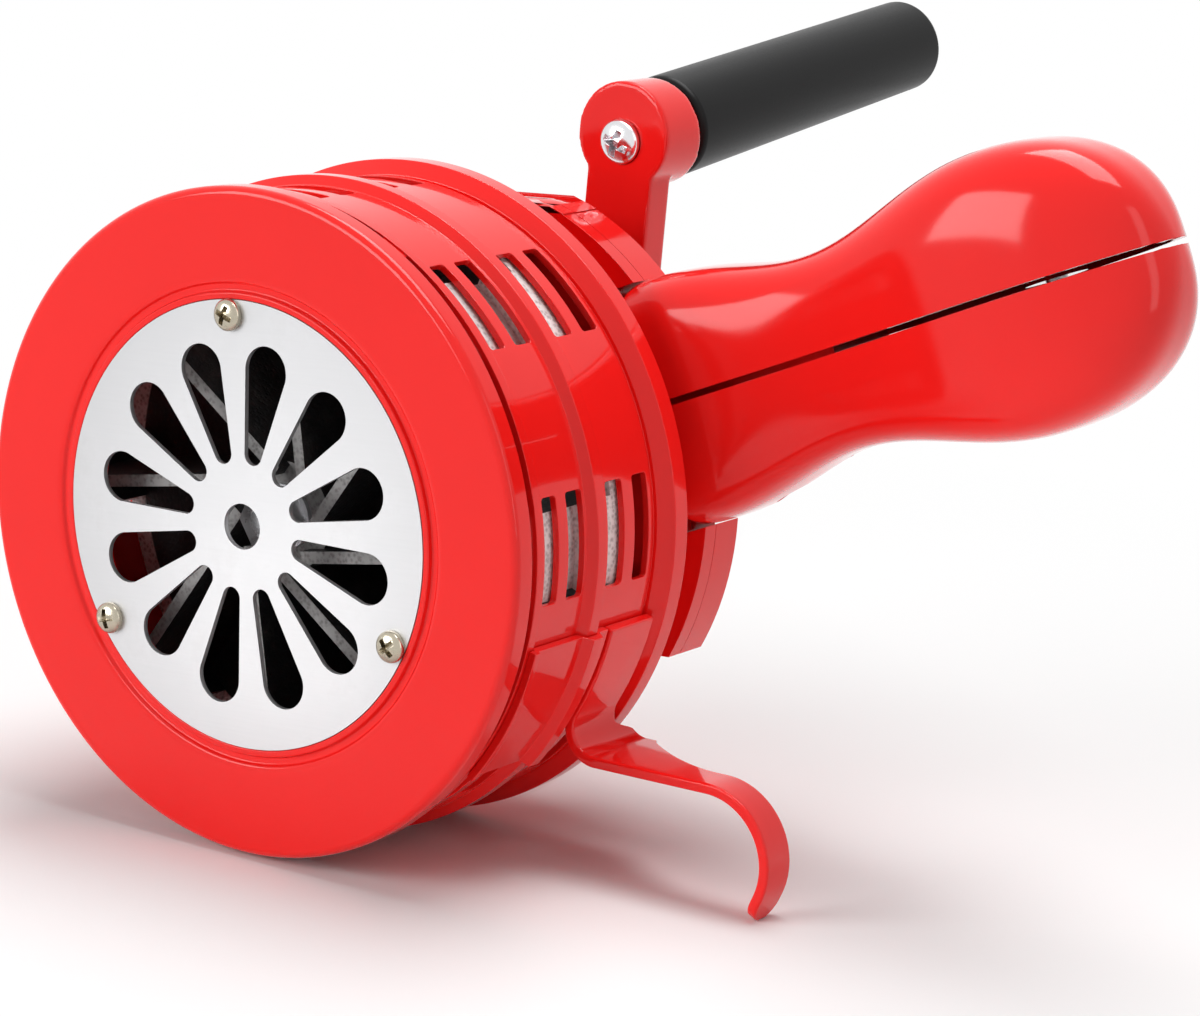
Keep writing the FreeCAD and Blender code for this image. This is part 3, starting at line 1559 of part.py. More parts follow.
def make_crank_bushes():
    inner = d.crank_shaft_radius + d.run_gap
    outer = d.crank_shaft_radius + d.bush_wall
    pieces = []
    for name, start, end in (
        ("bush_inner", BRIDGE_START, BRIDGE_END),
        ("bush_outer", COVER_INSIDE, CRANK_BOSS_END),
    ):
        pieces.append(turned_body(name, tube_corners(inner, outer, start, end)))
    shape = Part.makeCompound([piece.Shape for piece in pieces])
    return keep(scripted("crank_bushes", shape, crank_frame()), "crank_bushes")


def make_crank_arm():
    back = ARM_FRONT + d.arm_thickness
    body = new_body("arm_bar")
    half = d.arm_width / 2
    sketch = new_sketch(body, "bar", "XZ_Plane", -ARM_FRONT)
    draw_outline(
        sketch, [(-half, 0), (half, 0), (half, d.crank_length), (-half, d.crank_length)]
    )
    pad(body, sketch, d.arm_thickness)
    sketch = new_sketch(body, "hub", "XZ_Plane", -ARM_HUB_FRONT)
    draw_circle(sketch, (0, 0), d.eye_radius)
    pad(body, sketch, back - ARM_HUB_FRONT)
    sketch = new_sketch(body, "eye", "XZ_Plane", -ARM_FRONT)
    draw_circle(sketch, (0, d.crank_length), d.eye_radius)
    pad(body, sketch, d.eye_depth + d.arm_width / 2)
    round_edges(body, d.arm_edge_round, lambda edge: lies_at(edge, ARM_FRONT))
    body.Placement = crank_frame()
    bore = turned_body(
        "arm_bore", tube_corners(0, d.crank_shaft_radius + d.press_gap, ARM_HUB_FRONT, back)
    )
    bore.Placement = crank_frame()
    hole = turned_body(
        "eye_hole",
        [
            (0, -ARM_HUB_FRONT),
            (d.knob_head_radius + d.seat_gap, -ARM_HUB_FRONT),
            (d.knob_head_radius + d.seat_gap, d.spot_depth - d.eye_depth),
            (d.knob_screw_radius + d.seat_gap, d.spot_depth - d.eye_depth),
            (d.knob_screw_radius + d.seat_gap, 0),
            (2 * d.eye_radius, 0),
            (2 * d.eye_radius, 2 * d.eye_depth),
            (0, 2 * d.eye_depth),
        ],
    )
    hole.Placement = knob_frame()
    arm = trimmed("arm_drilled", body, [bore, hole])
    return keep(arm, "crank_arm")


def make_crank_fixings():
    back = ARM_FRONT + d.arm_thickness
    washer = turned_body(
        "crank_washer",
        tube_corners(
            d.knob_screw_radius + d.seat_gap,
            d.crank_washer_radius,
            back,
            back + d.washer_thickness,
        ),
    )
    washer.Placement = crank_frame()
    keep(washer, "crank_washer")
    screw = pan_screw(
        "crank_screw",
        d.knob_screw_radius,
        d.knob_head_radius,
        d.knob_head_height,
        d.crank_screw_length,
    )
    turn = FreeCAD.Placement(
        vector(0, back + d.washer_thickness, 0), FreeCAD.Rotation(FreeCAD.Vector(0, 0, 1), 180)
    )
    screw.Placement = crank_frame() * turn
    keep(screw, "crank_screw")
    thrust = turned_body(
        "thrust_washer",
        tube_corners(
            d.crank_shaft_radius + d.run_gap,
            d.crank_boss_radius - d.washer_thickness,
            CRANK_BOSS_END + d.run_gap,
            ARM_HUB_FRONT - d.run_gap,
        ),
    )
    thrust.Placement = crank_frame()
    return keep(thrust, "thrust_washer")


def make_knob():
    near = d.knob_washer_thickness + d.knob_gap
    end = near + d.knob_length
    bore = d.knob_pin_radius + d.run_gap
    seat = end - d.pin_head_depth
    wide = d.pin_head_radius + d.knob_gap
    body = turned_body(
        "knob",
        [
            (bore, near),
            (d.knob_near_radius, near),
            (d.knob_far_radius, end),
            (wide, end),
            (wide, seat),
            (bore, seat),
        ],
    )
    round_edges(
        body,
        d.knob_edge_round,
        lambda edge: is_circle(edge, d.knob_near_radius, near)
        or is_circle(edge, d.knob_far_radius, end),
    )
    body.Placement = knob_frame()
    keep(body, "knob")
    cap = turned_body(
        "knob_cap", tube_corners(0, wide - d.press_gap, end - d.knob_cap_length, end)
    )
    cap.Placement = knob_frame()
    return keep(cap, "knob_cap")


def make_knob_pin():
    head = d.knob_washer_thickness + d.knob_gap + d.knob_length - d.pin_head_depth + d.run_gap
    tap = d.knob_screw_radius + TAP_GAP
    depth = d.knob_screw_length - d.eye_depth + d.spot_depth + d.seat_gap
    body = turned_body(
        "knob_pin",
        [
            (tap, 0),
            (d.knob_pin_radius, 0),
            (d.knob_pin_radius, head),
            (d.pin_head_radius, head),
            (d.pin_head_radius, head + d.pin_head_length),
            (0, head + d.pin_head_length),
            (0, depth),
            (tap, depth),
        ],
    )
    body.Placement = knob_frame()
    keep(body, "knob_pin")
    washer = turned_body(
        "knob_washer",
        tube_corners(
            d.knob_pin_radius + d.seat_gap, d.knob_washer_radius, 0, d.knob_washer_thickness
        ),
    )
    washer.Placement = knob_frame()
    keep(washer, "knob_washer")
    screw = pan_screw(
        "knob_screw",
        d.knob_screw_radius,
        d.knob_head_radius,
        d.knob_head_height,
        d.knob_screw_length,
    )
    front = FreeCAD.Placement(vector(0, d.spot_depth - d.eye_depth, 0), FreeCAD.Rotation())
    screw.Placement = knob_frame() * front
    return keep(screw, "knob_screw")


# ---------------------------------------------------------------- hand grip


def ease(share):
    """A smooth step from 0 to 1."""
    return (1 - math.cos(math.pi * share)) / 2


def grip_size(distance, base, waist, bulb):
    """Half size of the grip's section at a distance from the siren's axis."""
    start, shoulder = float(GRIP_START), float(GRIP_SHOULDER)
    middle, crest, end = float(GRIP_WAIST), float(GRIP_CREST), float(GRIP_END)
    if distance < shoulder:
        corner = float(d.grip_corner_radius)
        short = max(0.0, 1 - (distance - start) / corner)
        return base - corner * (1 - math.sqrt(1 - min(short, 1) ** 2))
    if distance < middle:
        return base + (waist - base) * ease((distance - shoulder) / (middle - shoulder))
    if distance < crest:
        return waist + (bulb - waist) * ease((distance - middle) / (crest - middle))
    share = (distance - crest) / (end - crest)
    power = float(d.grip_end_power)
    return bulb * max(0.0, 1 - share**power) ** (1 / power)


def grip_section(distance, inset, flat, side):
    """Half of the grip's section: a flat at the seam and a full arch over it."""
    heights = (d.grip_base_half_height, d.grip_waist_half_height, d.grip_bulb_half_height)
    depths = (d.grip_base_depth, d.grip_waist_depth, d.grip_bulb_depth)
    high, deep = (grip_size(distance, *map(float, sizes)) for sizes in (heights, depths))
    high, deep = high - inset, deep - inset
    power = 2 / float(d.grip_squareness)
    points = []
    for index in range(ARCH_STEPS + 1):
        angle = math.pi * index / ARCH_STEPS
        across = math.copysign(abs(math.cos(angle)) ** power, math.cos(angle)) * deep
        rise = flat + (high - flat) * math.sin(angle) ** power if 0 < index < ARCH_STEPS else flat
        points.append(FreeCAD.Vector(distance, across, side * rise))
    arch = Part.BSplineCurve()
    shares = [index / ARCH_STEPS for index in range(ARCH_STEPS + 1)]
    arch.interpolate(Points=points, Parameters=shares)
    return Part.Wire([arch.toShape(), Part.LineSegment(points[-1], points[0]).toShape()])


def grip_stations(start, end):
    """Distances at which the grip's sections are drawn, closer together at its ends."""
    crest = float(GRIP_CREST)
    corner = float(d.grip_corner_radius)
    near = [start + corner * share for share in CORNER_SHARES]
    step = (crest - near[-1]) / SWELL_STATIONS
    middle = [near[-1] + step * index for index in range(1, SWELL_STATIONS + 1)]
    turn = math.pi / 2 / END_STATIONS
    far = [crest + (end - crest) * math.sin(turn * index) for index in range(1, END_STATIONS)]
    return near + middle + far + [end - float(d.grip_nose_gap)]


def grip_loft(inset, flat, side):
    """A solid half of the grip, shrunk by an inset."""
    start = float(GRIP_START) + inset
    end = float(GRIP_END) - inset
    reach = float(GRIP_END) - float(GRIP_START)
    sections = []
    for distance in grip_stations(start, end):
        share = (distance - start) / (end - start)
        outer_distance = float(GRIP_START) + reach * share
        wire = grip_section(outer_distance, inset, flat, side)
        wire.translate(FreeCAD.Vector(distance - outer_distance, 0, 0))
        sections.append(wire)
    return Part.makeLoft(sections, True, False)


def make_grip_half(label, side):
    seam = float(d.grip_seam_gap) / 2
    wall = float(d.grip_wall)
    frame = FreeCAD.Placement(vector(0, GRIP_CENTRE, 0), clock_turn(float(d.grip_clock) - X_CLOCK))
    outer = grip_loft(0, seam, side)
    inner = grip_loft(wall, seam - wall, side)
    shell = outer.cut(inner)
    screw_along = float(GRIP_SCREW_ALONG - GRIP_CENTRE)
    bosses = []
    drills = []
    for distance, low in (
        (NEAR_SCREW, d.lug_half_height + d.press_gap),
        (MIDDLE_SCREW, d.lug_half_height + d.press_gap),
        (FAR_SCREW, d.press_gap),
    ):
        foot = vector(distance, screw_along, side * float(low))
        up = FreeCAD.Vector(0, 0, side)
        reach = float(d.grip_bulb_half_height)
        boss = Part.makeCylinder(float(d.grip_boss_radius), reach, foot, up)
        bosses.append(boss)
        if side < 0:
            drills.append(
                Part.makeCylinder(float(d.main_screw_radius + d.seat_gap), 2 * reach, foot, up)
            )
            seat = vector(distance, screw_along, -float(d.grip_screw_seat_depth))
            head = float(d.main_head_radius + 2 * d.seat_gap)
            drills.append(Part.makeCylinder(head, 2 * reach, seat, up))
        else:
            depth = float(d.grip_screw_length - d.grip_screw_seat_depth + d.seat_gap - low)
            drills.append(Part.makeCylinder(float(d.main_screw_radius + TAP_GAP), depth, foot, up))
    whole = outer.common(Part.makeCompound(bosses))
    shape = shell.fuse(whole)
    lug_gap = float(d.seat_gap)
    lug = Part.makeBox(
        float(LUG_END - GRIP_START) + 2 * lug_gap,
        float(d.lug_width) + 2 * lug_gap,
        2 * float(d.lug_half_height),
        vector(
            GRIP_START - lug_gap,
            LUG_FRONT - GRIP_CENTRE - lug_gap,
            -float(d.lug_half_height),
        ),
    )
    shape = shape.cut(lug)
    shape = shape.cut(drills)
    return keep(scripted(label, shape.removeSplitter(), frame), label)


def make_grip_screws():
    screw = pan_screw(
        "grip_screw",
        d.main_screw_radius,
        d.main_head_radius,
        d.main_head_height,
        d.grip_screw_length,
    )
    seat = float(d.grip_screw_seat_depth)
    lay_up = FreeCAD.Rotation(FreeCAD.Vector(1, 0, 0), 90)
    places = []
    for distance in (NEAR_SCREW, MIDDLE_SCREW, FAR_SCREW):
        local = FreeCAD.Placement(vector(distance, GRIP_SCREW_ALONG, -seat), lay_up)
        turn = FreeCAD.Placement(FreeCAD.Vector(), clock_turn(float(d.grip_clock) - X_CLOCK))
        places.append(turn * local)
    return copies("grip_screws", screw, places)


# ---------------------------------------------------------------- build and export


def build_all():
    make_front_ring()
    make_grille()
    make_grille_screws()
    make_stator_drum()
    make_foot_plate()
    make_foot_hook()
    make_rotor()
    make_rotor_shaft()
    make_rotor_fixings()
    make_rotor_bushes()
    make_rotor_pinion()
    make_idler_gear()
    make_idler_pinion()
    make_idler_pin()
    make_crank_gear()
    make_gear_housing()
    make_gear_cover()
    make_bearing_bridge()
    make_housing_screws()
    make_crank_shaft()
    make_crank_bushes()
    make_crank_arm()
    make_crank_fixings()
    make_knob()
    make_knob_pin()
    make_grip_half("grip_upper", 1)
    make_grip_half("grip_lower", -1)
    make_grip_screws()


def check_document():
    """Stop if any object failed or any sub-part has no sound solid."""
    doc.recompute()
    for item in doc.Objects:
        if "Invalid" in item.State or "Error" in item.State:
            raise RuntimeError(f"{item.Label} failed: {item.State}")
    for item in EXPORTED:
        if item.Shape.isNull() or not item.Shape.isValid() or not item.Shape.Solids:
            raise RuntimeError(f"{item.Label} has no sound solid")


def export_all(folder):
    os.makedirs(folder, exist_ok=True)
    for item in EXPORTED:
        item.Shape.exportStep(os.path.join(folder, f"{item.Label}.step"))


build_all()
check_document()
export_all("parts")
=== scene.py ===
import json
import math
from contextlib import contextmanager

import bmesh
import bpy
from bpy.props import FloatProperty, FloatVectorProperty, IntProperty, PointerProperty
from mathutils import Matrix, Vector


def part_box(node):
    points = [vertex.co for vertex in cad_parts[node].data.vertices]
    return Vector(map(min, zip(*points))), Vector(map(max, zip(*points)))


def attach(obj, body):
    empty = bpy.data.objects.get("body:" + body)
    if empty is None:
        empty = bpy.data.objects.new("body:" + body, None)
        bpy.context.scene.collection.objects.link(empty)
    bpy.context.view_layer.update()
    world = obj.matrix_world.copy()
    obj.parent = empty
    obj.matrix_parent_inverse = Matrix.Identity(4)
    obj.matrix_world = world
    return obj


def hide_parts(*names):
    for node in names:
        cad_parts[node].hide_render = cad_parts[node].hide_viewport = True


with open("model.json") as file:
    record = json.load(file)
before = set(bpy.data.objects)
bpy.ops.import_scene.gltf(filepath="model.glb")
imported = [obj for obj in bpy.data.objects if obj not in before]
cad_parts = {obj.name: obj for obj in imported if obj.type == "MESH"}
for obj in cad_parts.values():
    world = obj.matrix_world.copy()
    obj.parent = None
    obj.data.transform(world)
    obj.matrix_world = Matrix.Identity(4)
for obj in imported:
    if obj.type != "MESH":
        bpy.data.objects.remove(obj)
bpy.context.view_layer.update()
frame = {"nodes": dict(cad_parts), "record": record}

bl_info = {
    "name": "Hand Crank Siren",
    "version": (1, 0, 0),
    "blender": (4, 5, 0),
    "location": "3D View > Sidebar > Siren",
    "description": "Builds the finish and the fine shapes of a hand crank siren round its working frame",
    "category": "Add Mesh",
}

MM = 0.001


def low(node):
    """Lowest corner of a frame node."""
    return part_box(node)[0]


def high(node):
    """Highest corner of a frame node."""
    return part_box(node)[1]


def length(name, default, description=""):
    """A length property, in metres."""
    return FloatProperty(
        name=name, description=description or name, default=default, unit="LENGTH", precision=5
    )


def angle(name, degrees, description=""):
    """An angle property, set in degrees and kept in radians."""
    return FloatProperty(
        name=name, description=description or name, default=math.radians(degrees), subtype="ANGLE"
    )


def colour(name, default, description=""):
    """A colour property."""
    return FloatVectorProperty(
        name=name, description=description or name, default=default, subtype="COLOR", size=3, min=0, max=1
    )


# ---------------------------------------------------------------- properties


class SirenRing(bpy.types.PropertyGroup):
    """Sizes of the front ring."""

    radius: length("Radius", high("front_ring").x, "Outer radius of the ring")
    depth: length("Depth", high("front_ring").y, "Depth of the skirt")
    wall: length("Wall", 0.0013, "Wall of the skirt")
    plate: length("Plate", 0.0022, "Thickness of the ring's face")
    edge: length("Edge", 0.0015, "Rounding of the outer edge")
    flat_radius: length("Flat radius", 0.0444, "Where the flat face begins")
    ledge_radius: length("Ledge radius", 0.035, "Inner radius of the ledge behind the grille")
    ledge: length("Ledge", 0.0024, "Thickness of the ledge behind the grille")
    lip: length("Lip", 0.0011, "Width of the lip round the grille")
    groove: length("Groove", 0.0015, "Width of the groove round the lip")
    groove_depth: length("Groove depth", 0.0009, "Depth of the groove round the lip")
    gap: length("Gap", 0.0001, "Gap round the grille")


class SirenGrille(bpy.types.PropertyGroup):
    """Sizes of the grille."""

    radius: length("Radius", high("grille").x, "Radius of the grille")
    thickness: length("Thickness", high("grille").y, "Thickness of the sheet")
    clock: angle("Clock", -2.6, "Turn of the grille from upright")
    petals: IntProperty(name="Petals", description="Openings round the grille", default=12, min=3)
    outer_place: length("Outer place", 0.0286, "Centre of a petal's wide end")
    outer_radius: length("Outer radius", 0.0046, "Radius of a petal's wide end")
    inner_place: length("Inner place", 0.0134, "Centre of a petal's narrow end")
    inner_radius: length("Inner radius", 0.00195, "Radius of a petal's narrow end")
    hole: length("Hole", 0.0041, "Radius of the middle hole")
    edge: length("Edge", 0.00016, "Rounding left by the punch")


class SirenDrum(bpy.types.PropertyGroup):
    """Sizes of the stator drum."""

    radius: length("Radius", 0.0582, "Radius of the drum's skin")
    wall: length("Wall", 0.0013, "Wall of the drum")
    flange_radius: length("Flange radius", high("stator_drum").z, "Radius of the rear flange")
    back: length("Back", high("stator_drum").y, "Back of the drum")
    front: length("Front", 0.0075, "Front rim")
    rim_proud: length("Rim height", 0.0007, "How far the front rim stands proud")
    rim_width: length("Rim width", 0.0020, "Width of the front rim")
    bead_start: length("Bead start", 0.0228, "Where the middle bead begins")
    bead_width: length("Bead width", 0.0052, "Width of the middle bead")
    bead_proud: length("Bead height", 0.0017, "How far the bead stands proud")
    bead_slope: length("Bead slope", 0.0012, "Slope of the bead's sides")
    groove_start: length("Groove start", 0.0428, "Where the rear groove begins")
    groove_width: length("Groove width", 0.0014, "Width of the rear groove")
    groove_depth: length("Groove depth", 0.0007, "Depth of the rear groove")
    flange_width: length("Flange width", 0.0038, "Width of the rear flange")
    rear_wall: length("Rear wall", 0.0030, "Thickness of the rear wall")
    spigot: length("Spigot", 0.0040, "Depth of the rear recess")
    spigot_radius: length("Spigot radius", 0.0557, "Radius of the rear recess")
    bore: length("Bore", 0.0065, "Radius of the bush's bore")
    ports: IntProperty(name="Ports", description="Groups of slots round the drum", default=8, min=2)
    port_steps: IntProperty(name="Port steps", description="Facets across one slot", default=14, min=2)
    group_steps: IntProperty(name="Group steps", description="Facets from one group to the next", default=34, min=4)
    port_corner: length("Port corner", 0.0006, "Rounding of the slots' corners")
    row_a: length("Row A", 0.0107, "Start of the first row of slots")
    row_a_width: length("Row A width", 0.0040)
    row_b: length("Row B", 0.0176, "Start of the second row of slots")
    row_b_width: length("Row B width", 0.0046)
    row_c: length("Row C", 0.0293, "Start of the third row of slots")
    row_c_width: length("Row C width", 0.0049)
    row_d: length("Row D", 0.0374, "Start of the fourth row of slots")
    row_d_width: length("Row D width", 0.0043)
    tabs: IntProperty(name="Tabs", description="Tabs that hold the front ring", default=3, min=1)
    tab_clock: angle("Tab clock", 30, "Clock angle of the first tab")
    tab_width: length("Tab width", 0.0060)
    tab_inside: length("Tab inside", 0.0571, "Inner radius of the tabs")
    tab_thickness: length("Tab thickness", 0.0014)
    tab_front: length("Tab front", 0.0022)
    edge: length("Edge", 0.00035, "Rounding of the edges")


class SirenFoot(bpy.types.PropertyGroup):
    """Sizes of the foot plate and the hook."""

    clock: angle("Clock", 106.5, "Clock angle at which the plate and the hook begin")
    plate_angle: angle("Plate angle", 27, "Angle that the plate covers")
    plate_thickness: length("Plate thickness", 0.0014)
    plate_lap: length("Plate lap", 0.0026, "How far the plate laps over the drum behind the bead")
    gap: length("Gap", 0.0001, "Gap between the drum and the foot")
    front: length("Front", low("foot_hook").y, "Front edge of the hook strip")
    thickness: length("Thickness", 0.0020, "Thickness of the hook strip")
    wrap_angle: angle("Wrap angle", 17.5, "Angle of the drum that the hook wraps")
    wrap_width: length("Wrap width", 0.0130, "Width of the strip on the drum")
    root_radius: length("Root radius", 0.0055, "Bend where the strip leaves the drum")
    root_width: length("Root width", 0.0172, "Widest part of the strip")
    straight: length("Straight", 0.0238, "Straight part of the strip")
    slope: angle("Slope", 2.6, "Slope of the straight part")
    tip_radius: length("Tip radius", 0.0125, "Bend of the tip")
    tip_angle: angle("Tip angle", 115, "Angle of the tip's bend")
    tip_length: length("Tip length", 0.0048, "Straight end of the tip")
    tip_width: length("Tip width", 0.0074, "Width of the tip")
    shoulder: length("Shoulder", 0.0030, "Run over which the strip widens at its root")
    taper_gap: length("Taper gap", 0.0004, "From the root's bend to where the strip narrows")
    taper: length("Taper", 0.0200, "Run over which the strip narrows to its tip width")
    edge: length("Edge", 0.0007, "Rounding of the hook's edges")
    plate_edge: length("Plate edge", 0.0004, "Rounding of the plate's edges")


class SirenCrank(bpy.types.PropertyGroup):
    """Sizes of the crank arm and the knob."""

    lean: angle("Lean", 6.6, "Lean of the arm from upright")
    length: length("Length", 0.0586, "From the crank's axis to the middle of the eye")
    front: length("Front", 0.0890, "Front face of the arm")
    thickness: length("Thickness", 0.0070, "Thickness of the bar")
    width: length("Width", 0.0146, "Width of the bar")
    eye_radius: length("Eye radius", 0.0102, "Radius of the eye and of the hub")
    eye_depth: length("Eye depth", 0.0120, "Depth of the eye along the knob's axis")
    hub_front: length("Hub front", 0.0809, "Front face of the hub")
    spot_radius: length("Spot radius", 0.0044, "Radius of the recess under the screw's head")
    spot_depth: length("Spot depth", 0.0006, "Depth of the recess under the screw's head")
    skin: length("Skin", 0.00045, "Size of the cells from which the arm's rounded skin is drawn")
    drop: length("Drop", 0.0012, "How far the knob's axis starts below the middle of the eye")
    splay: angle("Splay", 7, "Outward lean of the knob's axis")
    bore: length("Bore", 0.00502, "Radius of the shaft's bore")
    rounding: IntProperty(name="Rounding", description="Passes that round the arm's skin", default=9, min=0)
    knob_bore: length("Knob bore", 0.00405)
    cap_radius: length("Cap radius", 0.0060, "Radius of the recess that the cap closes")
    cap_depth: length("Cap depth", 0.0090)
    cap_length: length("Cap length", 0.0030)
    seam: length("Seam", 0.0003, "Gap and rounding round the cap")
    knob_length: length("Knob length", 0.0886)
    knob_start: length("Knob start", 0.0012, "Gap between the eye and the knob")
    knob_near: length("Knob near radius", 0.0099)
    knob_far: length("Knob far radius", 0.0093)
    knob_edge: length("Knob edge", 0.0016, "Rounding of the knob's ends")


class SirenHousing(bpy.types.PropertyGroup):
    """Sizes of the gear housing and its cover."""

    spigot_radius: length("Spigot radius", 0.0556, "Radius of the spigot in the drum's rear recess")
    spigot_start: length("Spigot start", low("gear_housing").y)
    neck_radius: length("Neck radius", 0.0500)
    neck_top: length("Neck top", 0.0504, "Height of the neck's upper flat")
    neck_bottom: length("Neck bottom", 0.0274, "Depth of the neck's lower flat")
    rim_radius: length("Rim radius", 0.0563)
    rim_start: length("Rim start", 0.0628)
    top: length("Top", 0.0525, "Height of the rim's and the cover's upper flat")
    bottom: length("Bottom", 0.0295, "Depth of the rim's and the cover's lower flat")
    cover_start: length("Cover start", low("gear_cover").y)
    cover_back: length("Cover back", 0.0735)
    cover_inside: length("Cover inside", 0.0705)
    boss_radius: length("Boss radius", 0.0110, "Radius of the boss round the crank's bush")
    boss_bore: length("Boss bore", 0.00742)
    boss_back: length("Boss back", high("gear_cover").y)
    wall: length("Wall", 0.0030)
    lug_end: length("Lug end", 0.0900, "How far the lug reaches into the grip")
    lug_half: length("Lug half height", 0.0050)
    lug_width: length("Lug width", 0.0190)
    corner: length("Corner", 0.0040, "Rounding of the flats' corners")
    cover_edge: length("Cover edge", 0.0016, "Rounding of the cover's back")
    edge: length("Edge", 0.0005)
    seam: length("Seam", 0.0001, "Gap between the pieces")


class SirenGrip(bpy.types.PropertyGroup):
    """Sizes of the hand grip."""

    clock: angle("Clock", 70, "Clock angle of the grip")
    centre: length("Centre", 0.0700, "Place of the grip's middle along the siren's axis")
    start: length("Start", 0.0460, "Distance of the grip's base from the siren's axis")
    base: length("Base", 0.0080, "Length of the straight base")
    neck: length("Neck", 0.0320, "From the base to the waist")
    swell: length("Swell", 0.0390, "From the waist to the widest part")
    end: length("End", 0.03029, "From the widest part to the end")
    base_height: length("Base height", 0.0230, "Half height of the base")
    waist_height: length("Waist height", 0.0179, "Half height of the waist")
    bulb_height: length("Bulb height", 0.0252, "Half height of the widest part")
    base_depth: length("Base depth", 0.0155, "Half depth of the base")
    waist_depth: length("Waist depth", 0.0126, "Half depth of the waist")
    bulb_depth: length("Bulb depth", 0.0165, "Half depth of the widest part")
    corner: length("Corner", 0.0060, "Rounding of the base's edge")
    squareness: FloatProperty(name="Squareness", description="Fullness of the section", default=3.2)
    end_power: FloatProperty(name="End power", description="Fullness of the round end", default=2.2)
    wall: length("Wall", 0.0022, "Wall of the shells")
    seam: length("Seam", 0.0012, "Gap between the two shells")
    edge: length("Edge", 0.0004, "Rounding of the shells' seam edges")
    boss_radius: length("Boss radius", 0.0056)
    seat_radius: length("Seat radius", 0.0040)
    bore: length("Bore", 0.0021)
    seat: length("Seat", 0.0130, "Depth of the screw seats below the seam")
    screw_offset: length("Screw offset", 0.0055, "Screws' distance from the grip's middle")
    screw_near: length("Near screw", 0.0640)
    screw_middle: length("Middle screw", 0.0820)
    screw_far: length("Far screw", 0.1280)


class SirenScrews(bpy.types.PropertyGroup):
    """Sizes of the screws that show."""

    small_head: length("Small head", 0.00285, "Head radius of the grille's screws")
    small_height: length("Small height", 0.0021)
    small_shank: length("Small shank", 0.0015)
    main_head: length("Main head", 0.0038, "Head radius of the cover's and the grip's screws")
    main_height: length("Main height", 0.0028)
    main_shank: length("Main shank", 0.0020)
    large_head: length("Large head", 0.0043, "Head radius of the knob's and the crank's screws")
    large_height: length("Large height", 0.0032)
    large_shank: length("Large shank", 0.0025)
    crown: FloatProperty(name="Crown", description="Height of the head's rim as a share of its height", default=0.34)
    recess: FloatProperty(name="Recess", description="Reach of the cross as a share of the head", default=0.76)
    small_length: length("Small length", 0.0033)
    cover_length: length("Cover screw length", 0.0090)
    grip_length: length("Grip screw length", 0.0270)
    knob_length: length("Knob screw length", 0.0240)
    crank_length: length("Crank screw length", 0.0120)
    grille_place: length("Grille screws", 0.03755, "Distance of the grille's screws from the axis")
    cover_place: length("Cover screws", 0.0504, "Distance of the cover's screws from the axis")


class SirenColours(bpy.types.PropertyGroup):
    """Colours of the finishes."""

    enamel: colour("Enamel", (0.86, 0.012, 0.010), "Red enamel")
    enamel_deep: colour("Enamel, deep", (0.62, 0.004, 0.005), "Red enamel in recesses and thick runs")
    # The grille's two sheet colours carry painted light: the first is its painted highlight below the middle, the
    # second its painted shade far from that spot.
    sheet: colour("Sheet", (0.73, 0.73, 0.74), "Silver sheet of the grille, in its middle")
    sheet_painted_shade: colour("Sheet rim", (0.50, 0.50, 0.51), "Silver sheet of the grille, far from its palest spot")
    zinc_yellow: colour("Yellow zinc", (0.52, 0.47, 0.37), "Yellow zinc plate")
    bright: colour("Bright plate", (0.80, 0.80, 0.82), "Bright plate")
    steel: colour("Steel", (0.42, 0.42, 0.43), "Plain steel")
    casting: colour("Casting", (0.88, 0.87, 0.86), "Bare cast metal")
    # Near-black painted shade for the rotor's inside, where the grille and the drum keep the light out.
    painted_shade_black: colour("Blacking", (0.012, 0.012, 0.013), "Dark inner faces")
    bronze: colour("Bronze", (0.45, 0.27, 0.10), "Bush metal")
    grease: colour("Grease", (0.10, 0.045, 0.018), "Grease on the gears")
    plastic: colour("Plastic", (0.0048, 0.0048, 0.0050), "Black plastic of the knob")
    floor: colour("Floor", (0.84, 0.84, 0.84), "Floor")


# ---------------------------------------------------------------- modelling helpers


def deselect_everything():
    active = bpy.context.object
    if active is not None and active.mode != "OBJECT":
        bpy.ops.object.mode_set(mode="OBJECT")
    bpy.ops.object.select_all(action="DESELECT")


def activate(*objects):
    """Select only these objects; the first is the active one."""
    deselect_everything()
    for item in objects:
        item.select_set(True)
    bpy.context.view_layer.objects.active = objects[0]


@contextmanager
def editing(item, kind="VERT"):
    """Edit mode on one object, with nothing selected."""
    activate(item)
    bpy.ops.object.mode_set(mode="EDIT")
    bpy.ops.mesh.select_mode(type=kind)
    bpy.ops.mesh.select_all(action="DESELECT")
    yield
    bpy.ops.object.mode_set(mode="OBJECT")


def pick(item, kind, wanted):
    """Select the vertices, edges or faces of the mesh in edit mode that the test wants; return how many."""
    mesh = bmesh.from_edit_mesh(item.data)
    chosen = {"VERT": mesh.verts, "EDGE": mesh.edges, "FACE": mesh.faces}[kind]
    for group in (mesh.verts, mesh.edges, mesh.faces):
        for element in group:
            element.select = False
    count = 0
    for element in chosen:
        if wanted(element):
            element.select_set(True)
            count += 1
    mesh.select_flush(True)
    bmesh.update_edit_mesh(item.data)
    return count


def new_primitive(name, operator, stretch=(1, 1, 1), **settings):
    """Add a primitive under a name, stretched along its own axes, with its place in its mesh."""
    deselect_everything()
    operator(**settings)
    item = bpy.context.object
    item.name = name
    item.scale = stretch
    bpy.ops.object.transform_apply(location=True, rotation=True, scale=True)
    return item


def apply_modifier(item, kind, **settings):
    """Add a modifier, set it and apply it."""
    activate(item)
    modifier = item.modifiers.new(kind.title(), kind)
    for name, value in settings.items():
        setattr(modifier, name, value)
    bpy.ops.object.modifier_apply(modifier=modifier.name)


